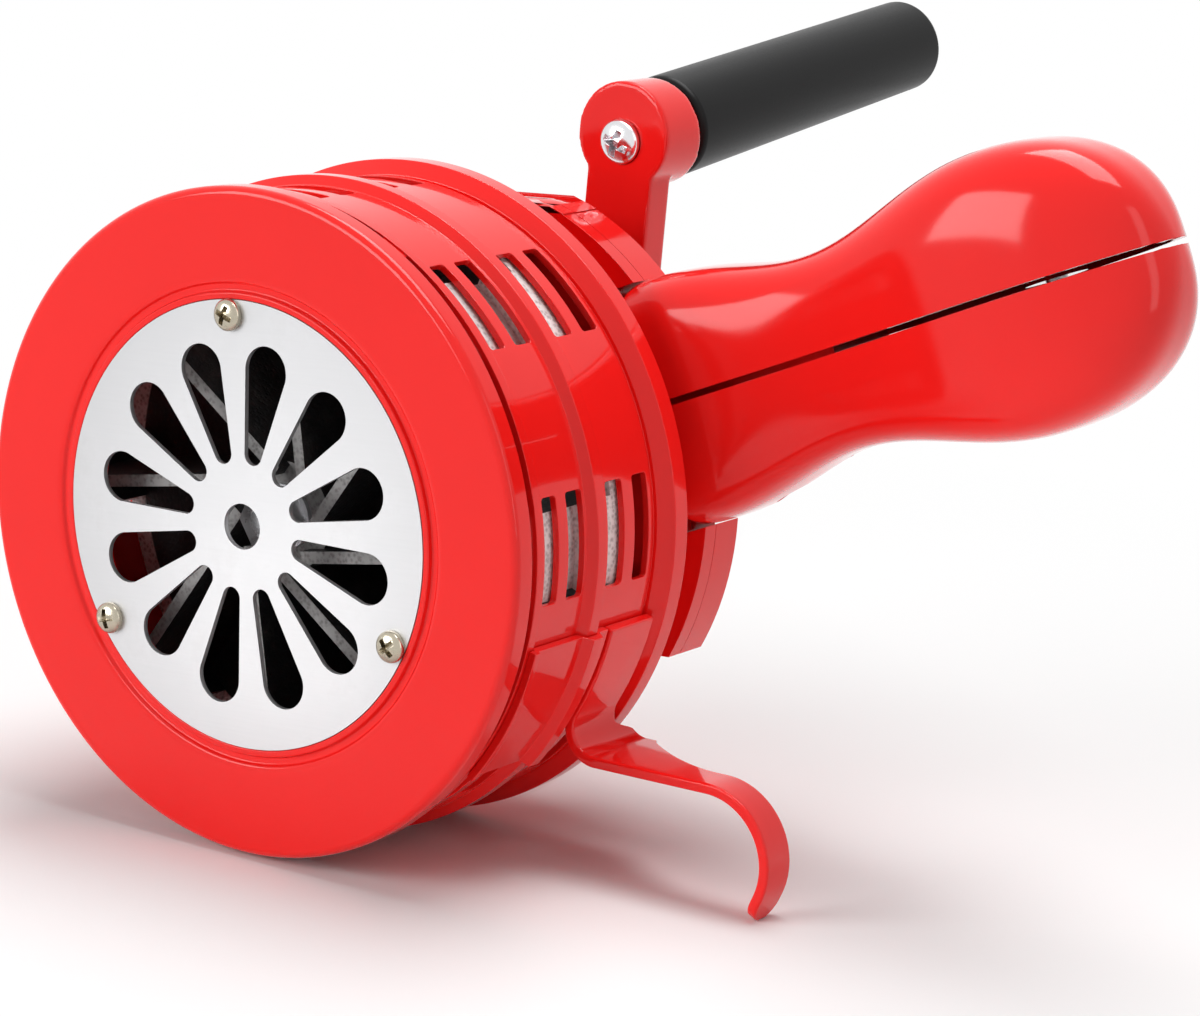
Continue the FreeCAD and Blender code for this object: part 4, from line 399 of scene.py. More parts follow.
def soften(item, width, segments=3, limit=35):
    """Round the sharp edges of a piece."""
    apply_modifier(
        item,
        "BEVEL",
        width=width,
        segments=segments,
        limit_method="ANGLE",
        angle_limit=math.radians(limit),
        use_clamp_overlap=True,
        harden_normals=False,
    )


def close_up(item, distance=1e-6):
    """Merge doubled vertices, where a distance is given, and turn the faces outwards."""
    with editing(item):
        bpy.ops.mesh.select_all(action="SELECT")
        if distance:
            bpy.ops.mesh.remove_doubles(threshold=distance)
        bpy.ops.mesh.normals_make_consistent(inside=False)
        if bmesh.from_edit_mesh(item.data).calc_volume(signed=True) < 0:
            bpy.ops.mesh.select_all(action="SELECT")
            bpy.ops.mesh.flip_normals()


def carve(item, *tools, operation="DIFFERENCE"):
    """Cut the tools from a piece, or join them to it, and remove them."""
    for tool in tools:
        apply_modifier(item, "BOOLEAN", operation=operation, object=tool, solver="EXACT")
        bpy.data.objects.remove(tool)


def duplicate(item, name):
    """A copy with its own mesh."""
    copy = item.copy()
    copy.data = item.data.copy()
    copy.name = name
    bpy.context.scene.collection.objects.link(copy)
    return copy


def place(item, matrix):
    """Move a piece's mesh; its object stays at the origin."""
    item.data.transform(matrix)
    item.data.update()


def join(name, items):
    """Make one piece of several."""
    activate(*items)
    if len(items) > 1:
        bpy.ops.object.join()
    item = bpy.context.object
    item.name = name
    return item


def clock_matrix(clock):
    """A turn about the siren's axis, clockwise seen from the front."""
    return Matrix.Rotation(clock, 4, "Y")


def lathe(name, profile, steps=128, closed=True):
    """Turn a profile of (radius, Y) points round the Y axis, drawing one ring after another.

    A closed profile gives a ring, and an open one a solid with a flat face at either end.
    """
    radius, along = profile[0]
    item = new_primitive(
        name,
        bpy.ops.mesh.primitive_circle_add,
        vertices=steps,
        radius=radius,
        fill_type="NOTHING" if closed else "NGON",
        location=(0, along, 0),
        rotation=(math.pi / 2, 0, 0),
    )
    rings = profile[1:] + (profile[:1] if closed else [])
    with editing(item):
        bpy.ops.mesh.select_all(action="SELECT")
        for next_radius, next_along in rings:
            move = (0, next_along - along, 0)
            bpy.ops.mesh.extrude_region_move(TRANSFORM_OT_translate={"value": move})
            share = next_radius / radius
            bpy.ops.transform.resize(value=(share, 1, share), center_override=(0, next_along, 0))
            radius, along = next_radius, next_along
    close_up(item)
    return item


def rod(name, radius, start, end, centre=(0, 0), steps=64):
    """A solid cylinder along Y round a centre in X and Z."""
    item = lathe(name, [(radius, start), (radius, end)], steps, closed=False)
    place(item, Matrix.Translation((centre[0], 0, centre[1])))
    return item


def block(name, lowest, highest):
    """A box between its lowest and highest corners."""
    lowest, highest = Vector(lowest), Vector(highest)
    return new_primitive(
        name,
        bpy.ops.mesh.primitive_cube_add,
        stretch=highest - lowest,
        size=1,
        location=(lowest + highest) / 2,
    )


def slice_off(item, point, normal):
    """Cut away what lies on the normal's side of a plane and close the cut."""
    with editing(item):
        bpy.ops.mesh.select_all(action="SELECT")
        bpy.ops.mesh.bisect(plane_co=point, plane_no=normal, use_fill=True, clear_outer=True)


def even_normals(item):
    """Keep large flat faces flat between their rounded edges."""
    apply_modifier(item, "WEIGHTED_NORMAL", mode="FACE_AREA", weight=50, keep_sharp=True)


def finish(item, body, material, nodes=(), smooth=30, weighted=True):
    """Give a finished piece its shading and finish, hang it on its body and hide the frame nodes that it stands for."""
    activate(item)
    bpy.ops.object.shade_smooth_by_angle(angle=math.radians(smooth))
    if weighted:
        even_normals(item)
    item.data.materials.clear()
    item.data.materials.append(material)
    for polygon in item.data.polygons:
        polygon.material_index = 0
    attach(item, body)
    if nodes:
        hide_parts(*nodes)
    return item


# ---------------------------------------------------------------- shader helpers


class Graph:
    """A node tree with short calls for adding and joining nodes."""

    def __init__(self, tree):
        self.tree = tree
        self.count = 0

    def add(self, kind, inputs=None, **settings):
        node = self.tree.nodes.new(kind)
        node.location = (220 * (self.count % 8), -260 * (self.count // 8))
        self.count += 1
        for name, value in settings.items():
            setattr(node, name, value)
        for name, value in (inputs or {}).items():
            self.put(node.inputs[name], value)
        return node

    def put(self, socket, value):
        """Link a socket, or set its value."""
        if isinstance(value, bpy.types.NodeSocket):
            self.tree.links.new(value, socket)
        elif hasattr(value, "__len__") and len(value) == 3 and socket.type == "RGBA":
            socket.default_value = (*value, 1)
        else:
            socket.default_value = value

    def maths(self, operation, first, second=0.0, clamp=False):
        node = self.add("ShaderNodeMath", operation=operation, use_clamp=clamp)
        self.put(node.inputs[0], first)
        self.put(node.inputs[1], second)
        return node.outputs[0]

    def ramp(self, value, start, end, low=0.0, high=1.0):
        node = self.add("ShaderNodeMapRange", clamp=True)
        for name, item in (
            ("Value", value),
            ("From Min", start),
            ("From Max", end),
            ("To Min", low),
            ("To Max", high),
        ):
            self.put(node.inputs[name], item)
        return node.outputs[0]

    def blend(self, factor, first, second, mode="MIX"):
        node = self.add("ShaderNodeMix", data_type="RGBA", blend_type=mode)
        self.put(node.inputs[0], factor)
        self.put(node.inputs[6], first)
        self.put(node.inputs[7], second)
        return node.outputs[2]

    def noise(self, place, scale, detail=2.0, rough=0.5):
        node = self.add("ShaderNodeTexNoise")
        for name, item in (("Vector", place), ("Scale", scale), ("Detail", detail), ("Roughness", rough)):
            self.put(node.inputs[name], item)
        return node.outputs["Fac"]


def new_group(name, inputs, outputs):
    """An empty shader node group with named sockets; returns its graph, inputs and output node."""
    tree = bpy.data.node_groups.new(name, "ShaderNodeTree")
    for socket, (kind, default) in inputs.items():
        made = tree.interface.new_socket(name=socket, in_out="INPUT", socket_type=kind)
        if default is not None:
            made.default_value = default
    for socket, kind in outputs.items():
        tree.interface.new_socket(name=socket, in_out="OUTPUT", socket_type=kind)
    graph = Graph(tree)
    entry = graph.add("NodeGroupInput")
    leave = graph.add("NodeGroupOutput")
    return graph, entry.outputs, leave.inputs


AROUND = (1.0, 1.0, 1.0)
ALONG_Y = (1.0, 0.04, 1.0)
LEVEL = (0.035, 1.0, 1.0)
NUMBER = "NodeSocketFloat"
COLOUR = "NodeSocketColor"
PLACE = "NodeSocketVector"


def enamel_group():
    """Sprayed enamel: a little tone drift, orange peel, dust nibs and thin dull dust."""
    graph, given, out = new_group(
        "Enamel",
        {
            "Place": (PLACE, None),
            "Colour": (COLOUR, (0.8, 0.02, 0.02, 1)),
            "Deep colour": (COLOUR, (0.6, 0.01, 0.01, 1)),
            "Drift": (NUMBER, 0.35),
            "Peel": (NUMBER, 0.5),
            "Gloss": (NUMBER, 0.2),
        },
        {"Colour": COLOUR, "Roughness": NUMBER, "Height": NUMBER},
    )
    cloud = graph.noise(given["Place"], 22.0, 3.0)
    drift = graph.maths("MULTIPLY", graph.ramp(cloud, 0.35, 0.7), given["Drift"])
    tone = graph.blend(drift, given["Colour"], given["Deep colour"])
    cells = graph.add("ShaderNodeTexVoronoi", {"Vector": given["Place"], "Scale": 900.0})
    nibs = graph.ramp(cells.outputs["Distance"], 0.035, 0.0)
    sparse = graph.ramp(graph.noise(given["Place"], 60.0, 1.0), 0.66, 0.74)
    nib = graph.maths("MULTIPLY", nibs, sparse)
    peel = graph.noise(given["Place"], 430.0, 1.5)
    wave = graph.noise(given["Place"], 120.0, 1.0)
    height = graph.maths("MULTIPLY", graph.maths("ADD", peel, graph.maths("MULTIPLY", wave, 2.0)), given["Peel"])
    smear = graph.ramp(graph.noise(given["Place"], 48.0, 4.0, 0.6), 0.45, 0.8, 0.0, 0.10)
    graph.put(out["Colour"], tone)
    graph.put(out["Roughness"], graph.maths("ADD", given["Gloss"], smear))
    graph.put(out["Height"], graph.maths("ADD", height, graph.maths("MULTIPLY", nib, 2.0)))
    return graph.tree


def brushed_group():
    """Fine lines left by brushing or turning, with a few handling marks."""
    graph, given, out = new_group(
        "Brushed",
        {
            "Place": (PLACE, None),
            "Colour": (COLOUR, (0.6, 0.6, 0.6, 1)),
            "Stretch": (PLACE, (1.0, 1.0, 0.03)),
            "Scale": (NUMBER, 2600.0),
            "Strength": (NUMBER, 0.25),
            "Gloss": (NUMBER, 0.3),
        },
        {"Colour": COLOUR, "Roughness": NUMBER, "Height": NUMBER},
    )
    stretched = graph.add("ShaderNodeVectorMath", operation="MULTIPLY")
    graph.put(stretched.inputs[0], given["Place"])
    graph.put(stretched.inputs[1], given["Stretch"])
    lines = graph.noise(stretched.outputs[0], given["Scale"], 3.0, 0.6)
    marks = graph.noise(given["Place"], 70.0, 5.0, 0.65)
    shade = graph.maths("MULTIPLY", graph.ramp(lines, 0.3, 0.7), given["Strength"])
    dull = graph.blend(shade, given["Colour"], graph.blend(1.0, given["Colour"], (0.55, 0.55, 0.55), "MULTIPLY"))
    graph.put(out["Colour"], graph.blend(graph.ramp(marks, 0.55, 0.85, 0.0, 0.25), dull, (0.30, 0.29, 0.28)))
    rough = graph.maths("ADD", given["Gloss"], graph.maths("MULTIPLY", shade, 0.5))
    graph.put(out["Roughness"], graph.maths("ADD", rough, graph.ramp(marks, 0.5, 0.8, 0.0, 0.12)))
    graph.put(out["Height"], lines)
    return graph.tree


def cast_group():
    """Sand-textured bare casting."""
    graph, given, out = new_group(
        "Cast",
        {
            "Place": (PLACE, None),
            "Colour": (COLOUR, (0.45, 0.45, 0.45, 1)),
            "Grain": (NUMBER, 1100.0),
            "Gloss": (NUMBER, 0.45),
        },
        {"Colour": COLOUR, "Roughness": NUMBER, "Height": NUMBER},
    )
    grit = graph.add("ShaderNodeTexVoronoi", {"Vector": given["Place"], "Scale": given["Grain"]})
    pits = graph.noise(given["Place"], 2200.0, 3.0, 0.7)
    patches = graph.noise(given["Place"], 90.0, 4.0)
    speckle = graph.ramp(graph.maths("MULTIPLY", grit.outputs["Distance"], pits), 0.04, 0.30)
    dark = graph.blend(1.0, given["Colour"], (0.50, 0.485, 0.48), "MULTIPLY")
    tone = graph.blend(speckle, dark, given["Colour"])
    graph.put(out["Colour"], graph.blend(graph.ramp(patches, 0.4, 0.75, 0.0, 0.4), tone, dark))
    graph.put(out["Roughness"], graph.maths("ADD", given["Gloss"], graph.maths("MULTIPLY", pits, 0.3)))
    graph.put(out["Height"], speckle)
    return graph.tree


def grime_group():
    """Soft patches of dust or grease, thicker towards low spots of a slow noise."""
    graph, given, out = new_group(
        "Grime",
        {
            "Place": (PLACE, None),
            "Colour": (COLOUR, (0.5, 0.5, 0.5, 1)),
            "Dirt": (COLOUR, (0.1, 0.05, 0.02, 1)),
            "Amount": (NUMBER, 0.5),
            "Scale": (NUMBER, 160.0),
        },
        {"Colour": COLOUR, "Mask": NUMBER},
    )
    slow = graph.noise(given["Place"], given["Scale"], 4.0, 0.6)
    edge = graph.maths("SUBTRACT", 0.85, given["Amount"])
    mask = graph.ramp(slow, edge, graph.maths("ADD", edge, 0.25))
    graph.put(out["Colour"], graph.blend(mask, given["Colour"], given["Dirt"]))
    graph.put(out["Mask"], mask)
    return graph.tree


def plastic_group():
    """Moulded plastic: a fine satin grain and faint flow streaks along the piece."""
    graph, given, out = new_group(
        "Moulded",
        {
            "Place": (PLACE, None),
            "Colour": (COLOUR, (0.02, 0.02, 0.02, 1)),
            "Gloss": (NUMBER, 0.32),
        },
        {"Colour": COLOUR, "Roughness": NUMBER, "Height": NUMBER},
    )
    grain = graph.noise(given["Place"], 1900.0, 2.0, 0.6)
    flow = graph.add("ShaderNodeVectorMath", operation="MULTIPLY")
    graph.put(flow.inputs[0], given["Place"])
    graph.put(flow.inputs[1], (1.0, 0.05, 1.0))
    streaks = graph.noise(flow.outputs[0], 240.0, 2.0)
    paler = graph.blend(1.0, given["Colour"], (1.5, 1.5, 1.5), "MULTIPLY")
    graph.put(out["Colour"], graph.blend(graph.ramp(streaks, 0.4, 0.75, 0.0, 0.6), given["Colour"], paler))
    rough = graph.maths("ADD", given["Gloss"], graph.maths("MULTIPLY", grain, 0.12))
    graph.put(out["Roughness"], graph.maths("ADD", rough, graph.ramp(streaks, 0.4, 0.8, 0.0, 0.08)))
    graph.put(out["Height"], grain)
    return graph.tree


GROUP_MAKERS = {
    "Enamel": enamel_group,
    "Brushed": brushed_group,
    "Cast": cast_group,
    "Grime": grime_group,
    "Moulded": plastic_group,
}


def shared_group(name):
    """A shared effect, made the first time that it is asked for."""
    return bpy.data.node_groups.get(name) or GROUP_MAKERS[name]()


def new_material(name, metallic=0.0, specular=0.5, coat=0.0, coat_roughness=0.03):
    """A material with its own shader; returns it with its graph, shader and place."""
    material = bpy.data.materials.new(name)
    material.use_nodes = True
    graph = Graph(material.node_tree)
    graph.tree.nodes.clear()
    shader = graph.add("ShaderNodeBsdfPrincipled")
    output = graph.add("ShaderNodeOutputMaterial")
    graph.tree.links.new(shader.outputs[0], output.inputs[0])
    shader.inputs["Metallic"].default_value = metallic
    shader.inputs["Specular IOR Level"].default_value = specular
    shader.inputs["Coat Weight"].default_value = coat
    shader.inputs["Coat Roughness"].default_value = coat_roughness
    place = graph.add("ShaderNodeTexCoord").outputs["Object"]
    return material, graph, shader, place


def use_group(graph, name, **inputs):
    """Place a shared effect with its own values."""
    node = graph.add("ShaderNodeGroup")
    node.node_tree = shared_group(name)
    for socket, value in inputs.items():
        graph.put(node.inputs[socket.replace("_", " ")], value)
    return node.outputs


def bump(graph, shader, height, strength, distance):
    """Feed a height to the shader's normal."""
    node = graph.add("ShaderNodeBump", {"Height": height, "Strength": strength, "Distance": distance})
    graph.put(shader.inputs["Normal"], node.outputs["Normal"])


def enamel(name, gloss=0.16, peel=0.5, drift=0.3, coat_roughness=0.04):
    """Glossy red enamel."""
    if name in bpy.data.materials:
        return bpy.data.materials[name]
    shades = bpy.context.scene.siren_colours
    material, graph, shader, place = new_material(name, specular=0.05, coat=1.0, coat_roughness=coat_roughness)
    shader.inputs["Coat IOR"].default_value = 1.33
    skin = use_group(
        graph,
        "Enamel",
        Place=place,
        Colour=tuple(shades.enamel),
        Deep_colour=tuple(shades.enamel_deep),
        Drift=drift,
        Peel=peel,
        Gloss=gloss,
    )
    graph.put(shader.inputs["Base Color"], skin["Colour"])
    graph.put(shader.inputs["Roughness"], skin["Roughness"])
    bump(graph, shader, skin["Height"], 0.10, 0.0002)
    return material


def brushed(name, tone, stretch, scale=2600.0, strength=0.25, gloss=0.28, depth=0.08, metallic=1.0):
    """Brushed, rolled or turned metal."""
    if name in bpy.data.materials:
        return bpy.data.materials[name]
    material, graph, shader, place = new_material(name, metallic=metallic)
    skin = use_group(
        graph,
        "Brushed",
        Place=place,
        Colour=tuple(tone),
        Stretch=stretch,
        Scale=scale,
        Strength=strength,
        Gloss=gloss,
    )
    graph.put(shader.inputs["Base Color"], skin["Colour"])
    graph.put(shader.inputs["Roughness"], skin["Roughness"])
    bump(graph, shader, skin["Height"], depth, 0.00005)
    return material


def sheet_metal(name):
    """Satin silver sheet with painted light: a painted highlight below its middle that fades to painted shade towards
    the rim.
    """
    if name in bpy.data.materials:
        return bpy.data.materials[name]
    shades = bpy.context.scene.siren_colours
    material, graph, shader, place = new_material(name, metallic=0.85)
    # Painted light: the sheet's colour runs from a painted highlight below the middle to painted shade at the rim,
    # standing in for how the light falls on it.
    rim = high("grille").x
    painted_highlight = (0.20 * rim, 0.0, -0.45 * rim)
    out = graph.add("ShaderNodeVectorMath", operation="DISTANCE")
    graph.put(out.inputs[0], place)
    graph.put(out.inputs[1], painted_highlight)
    tone = graph.blend(
        graph.ramp(out.outputs["Value"], 0.3 * rim, 1.5 * rim), tuple(shades.sheet), tuple(shades.sheet_painted_shade)
    )
    skin = use_group(
        graph, "Brushed", Place=place, Colour=tone, Stretch=LEVEL, Scale=1700.0, Strength=0.05, Gloss=0.40
    )
    graph.put(shader.inputs["Base Color"], skin["Colour"])
    graph.put(shader.inputs["Roughness"], skin["Roughness"])
    bump(graph, shader, skin["Height"], 0.015, 0.00005)
    return material


def greased(name, tone):
    """Cut steel with grease in its teeth."""
    if name in bpy.data.materials:
        return bpy.data.materials[name]
    shades = bpy.context.scene.siren_colours
    material, graph, shader, place = new_material(name, metallic=0.8)
    skin = use_group(graph, "Brushed", Place=place, Colour=tuple(tone), Stretch=(1.0, 0.06, 1.0), Gloss=0.25)
    dirt = use_group(
        graph, "Grime", Place=place, Colour=skin["Colour"], Dirt=tuple(shades.grease), Amount=0.42, Scale=210.0
    )
    graph.put(shader.inputs["Base Color"], dirt["Colour"])
    graph.put(shader.inputs["Roughness"], graph.blend(dirt["Mask"], skin["Roughness"], (0.16, 0.16, 0.16)))
    graph.put(shader.inputs["Metallic"], graph.ramp(dirt["Mask"], 0.0, 1.0, 1.0, 0.0))
    bump(graph, shader, dirt["Mask"], 0.25, 0.0002)
    return material


def rotor_casting(name):
    """Bare sandy casting outside and painted shade inside, with the bare casting colour on the vanes' forward-facing
    faces near the front.
    """
    if name in bpy.data.materials:
        return bpy.data.materials[name]
    shades = bpy.context.scene.siren_colours
    material, graph, shader, place = new_material(name, metallic=0.75)
    bare = use_group(graph, "Cast", Place=place, Colour=tuple(shades.casting), Gloss=0.38)
    parts = graph.add("ShaderNodeSeparateXYZ", {"Vector": place}).outputs
    flat = graph.add("ShaderNodeCombineXYZ", {"X": parts["X"], "Z": parts["Z"]})
    span = graph.add("ShaderNodeVectorMath", operation="LENGTH")
    graph.put(span.inputs[0], flat.outputs[0])
    outside = high("rotor").x
    rim = graph.ramp(span.outputs["Value"], outside - 0.0037, outside - 0.0034)
    facing = graph.add("ShaderNodeNewGeometry").outputs["Normal"]
    forward = graph.add("ShaderNodeSeparateXYZ", {"Vector": facing}).outputs["Y"]
    front_edges = graph.maths("MULTIPLY", graph.ramp(forward, -0.7, -0.9), graph.ramp(parts["Y"], 0.016, 0.013))
    shown = graph.maths("MAXIMUM", rim, graph.maths("MULTIPLY", front_edges, 0.45))
    # Painted shade: inside the outer lands, except the vanes' forward-facing faces near the front, the rotor is
    # coloured near-black for the shade within it, with faint random dust patches.
    painted_shade_and_dust = use_group(
        graph, "Grime", Place=place, Colour=tuple(shades.painted_shade_black), Dirt=(0.05, 0.048, 0.045), Amount=0.35, Scale=120.0
    )
    graph.put(shader.inputs["Base Color"], graph.blend(shown, painted_shade_and_dust["Colour"], bare["Colour"]))
    graph.put(shader.inputs["Metallic"], graph.maths("MULTIPLY", shown, 0.12))
    graph.put(shader.inputs["Roughness"], bare["Roughness"])
    bump(graph, shader, bare["Height"], 0.5, 0.00015)
    return material


def knob_plastic(name):
    """Satin black moulded plastic."""
    if name in bpy.data.materials:
        return bpy.data.materials[name]
    shades = bpy.context.scene.siren_colours
    material, graph, shader, place = new_material(name, specular=0.14)
    skin = use_group(graph, "Moulded", Place=place, Colour=tuple(shades.plastic), Gloss=0.28)
    graph.put(shader.inputs["Base Color"], skin["Colour"])
    graph.put(shader.inputs["Roughness"], skin["Roughness"])
    bump(graph, shader, skin["Height"], 0.10, 0.00006)
    return material


def finish_for(slot):
    """The material that belongs to a slot of the frame's record."""
    shades = bpy.context.scene.siren_colours
    makers = {
        "ring_paint": lambda: enamel("ring_enamel", gloss=0.17, peel=0.4, drift=0.15),
        "drum_paint": lambda: enamel("drum_enamel", gloss=0.16, peel=0.6),
        "foot_paint": lambda: enamel("foot_enamel", gloss=0.13, peel=0.8),
        "housing_paint": lambda: enamel("housing_enamel", gloss=0.18, peel=0.7, coat_roughness=0.07),
        "grip_paint": lambda: enamel("grip_enamel", gloss=0.12, peel=0.35, coat_roughness=0.11),
        "crank_paint": lambda: enamel("crank_enamel", gloss=0.16, peel=0.7, coat_roughness=0.09),
        "grille_metal": lambda: sheet_metal("grille_sheet"),
        "screw_zinc": lambda: brushed("yellow_zinc", shades.zinc_yellow, AROUND, 900.0, 0.3, 0.16),
        "screw_bright": lambda: brushed("bright_plate", shades.bright, AROUND, 700.0, 0.10, 0.13, 0.02),
        "screw_steel": lambda: brushed("plain_zinc", shades.bright, AROUND, 900.0, 0.3, 0.24),
        "rotor_cast": lambda: rotor_casting("rotor_casting"),
        "shaft_steel": lambda: brushed("ground_steel", shades.bright, (1.0, 1.0, 1.0), 1800.0, 0.2, 0.2),
        "gear_steel": lambda: greased("greased_steel", shades.steel),
        "bridge_steel": lambda: brushed("rolled_steel", shades.steel, LEVEL, 1800.0, 0.3, 0.34),
        "bush_bronze": lambda: brushed("sintered_bronze", shades.bronze, ALONG_Y, 1500.0, 0.3, 0.33),
        "knob_plastic": lambda: knob_plastic("satin_black"),
    }
    return makers[slot]()


# ---------------------------------------------------------------- operators


def crank_matrix():
    """Place of a piece that is built about the crank's axis with the arm along +Z."""
    size = bpy.context.scene.siren_crank
    x, y, z = joint_named("crank_turn")["pos_m"]
    return Matrix.Translation((x, 0, z)) @ clock_matrix(size.lean)


def eye_matrix():
    """Place, in the crank's own frame, of a piece that is built along +Y from the back of the eye."""
    size = bpy.context.scene.siren_crank
    front = Matrix.Translation((0, size.front, size.length - size.drop))
    return front @ Matrix.Rotation(size.splay, 4, "X") @ Matrix.Translation((0, size.eye_depth, 0))


def joint_named(name):
    return next(joint for joint in frame["record"]["behaviour"]["joints"] if joint["name"] == name)


def pan_screw(name, head, height, shank, length, turn=0.0):
    """A cross-recess screw along Y with a domed head: its seat is at the origin and its head looks along -Y."""
    size = bpy.context.scene.siren_screws
    rim = size.crown * height
    steps = 9
    flat = math.radians(12)
    profile = []
    for index in range(steps + 1):
        lean = flat + (math.pi / 2 - flat) * index / steps
        profile.append((head * math.sin(lean), -rim - (height - rim) * math.cos(lean)))
    profile += [(head, -rim / 2), (0.95 * head, 0.0), (shank, 0.0), (shank, length)]
    screw = lathe(name, profile, steps=48, closed=False)
    reach = size.recess * head
    half = 0.19 * head
    floor = -0.22 * height
    arms = []
    for quarter in range(2):
        arm = block(f"{name}_arm_{quarter}", (-reach, -1.2 * height, -half), (reach, floor, half))
        with editing(arm):
            pick(arm, "VERT", lambda vertex: math.isclose(vertex.co.y, floor, abs_tol=1e-7))
            bpy.ops.transform.resize(value=(0.5, 1, 0.6), center_override=(0, floor, 0))
        place(arm, clock_matrix(turn + quarter * math.pi / 2))
        arms.append(arm)
    carve(screw, *arms)
    close_up(screw)
    soften(screw, 0.028 * head, segments=2, limit=38)
    return screw


class SIREN_OT_finishes(bpy.types.Operator):
    """Give every node of the working frame the finish of its slot"""

    bl_idname = "siren.finishes"
    bl_label = "Finishes"

    def execute(self, context):
        for part in frame["record"]["subparts"]:
            node = frame["nodes"][part["node"]]
            node.data.materials.clear()
            node.data.materials.append(finish_for(part["material_slot"]))
            for polygon in node.data.polygons:
                polygon.material_index = 0
        return {"FINISHED"}


class SIREN_OT_front_ring(bpy.types.Operator):
    """Turn the front ring with its stepped lip and rounded edge"""

    bl_idname = "siren.front_ring"
    bl_label = "Front ring"

    def execute(self, context):
        size = context.scene.siren_ring
        grille = context.scene.siren_grille
        lip_start = grille.radius + size.gap
        lip_end = lip_start + size.lip
        groove_end = lip_end + size.groove
        ledge_back = grille.thickness + size.ledge
        skirt = size.radius - size.wall
        ring = lathe(
            "front_ring_shell",
            [
                (size.ledge_radius, grille.thickness),
                (lip_start, grille.thickness),
                (lip_start, 0.0),
                (lip_end, 0.0),
                (lip_end + size.gap * 3, size.groove_depth),
                (groove_end, size.groove_depth),
                (groove_end + size.gap * 4, size.groove_depth * 0.3),
                (size.flat_radius, 0.0),
                (size.radius, 0.0),
                (size.radius, size.depth),
                (skirt, size.depth),
                (skirt, size.plate),
                (grille.radius + size.ledge, size.plate),
                (grille.radius, ledge_back),
                (size.ledge_radius, ledge_back),
            ],
            steps=192,
        )

        def outer_edge(edge):
            return all(
                math.isclose(math.hypot(v.co.x, v.co.z), size.radius, abs_tol=1e-5) and abs(v.co.y) < 1e-6
                for v in edge.verts
            )

        with editing(ring, "EDGE"):
            if not pick(ring, "EDGE", outer_edge):
                raise RuntimeError("the front ring has no outer edge")
            bpy.ops.mesh.bevel(offset=size.edge, segments=6, profile=0.5)
        soften(ring, 0.00022, segments=3, limit=25)
        finish(ring, "frame", finish_for("ring_paint"), ["front_ring"])
        return {"FINISHED"}


def petal_tool(size, index):
    """A petal-shaped punch: a disc whose lower part is drawn down to the narrow end."""
    lean = math.asin((size.outer_radius - size.inner_radius) / (size.outer_place - size.inner_place))
    petal = new_primitive(
        f"petal_{index}",
        bpy.ops.mesh.primitive_circle_add,
        vertices=64,
        radius=size.outer_radius,
        fill_type="NGON",
        location=(0, -size.thickness, size.outer_place),
        rotation=(math.pi / 2, 0, 0),
    )
    edge = -math.sin(lean) * size.outer_radius
    share = size.inner_radius / size.outer_radius
    centre = (0, -size.thickness, size.outer_place)
    with editing(petal):
        pick(petal, "VERT", lambda vertex: vertex.co.z - size.outer_place < edge)
        bpy.ops.transform.resize(value=(share, 1, share), center_override=centre)
        bpy.ops.transform.translate(value=(0, 0, size.inner_place - size.outer_place))
        bpy.ops.mesh.select_all(action="SELECT")
        bpy.ops.mesh.extrude_region_move(TRANSFORM_OT_translate={"value": (0, 3 * size.thickness, 0)})
        bpy.ops.mesh.select_all(action="SELECT")
        bpy.ops.mesh.normals_make_consistent(inside=False)
    return petal


class SIREN_OT_grille(bpy.types.Operator):
    """Punch the petals out of the silver sheet and round the punched edges"""

    bl_idname = "siren.grille"
    bl_label = "Grille"

    def execute(self, context):
        size = context.scene.siren_grille
        disc = lathe(
            "grille_sheet",
            [(size.hole, 0.0), (size.radius, 0.0), (size.radius, size.thickness), (size.hole, size.thickness)],
            steps=160,
        )
        petals = []
        for index in range(size.petals):
            petal = petal_tool(size, index)
            place(petal, clock_matrix((index + 0.5) * 2 * math.pi / size.petals))
            petals.append(petal)
        carve(disc, join("petal_punch", petals))
        close_up(disc)
        soften(disc, size.edge, segments=2, limit=50)
        place(disc, clock_matrix(size.clock))
        finish(disc, "frame", finish_for("grille_metal"), ["grille"])
        return {"FINISHED"}


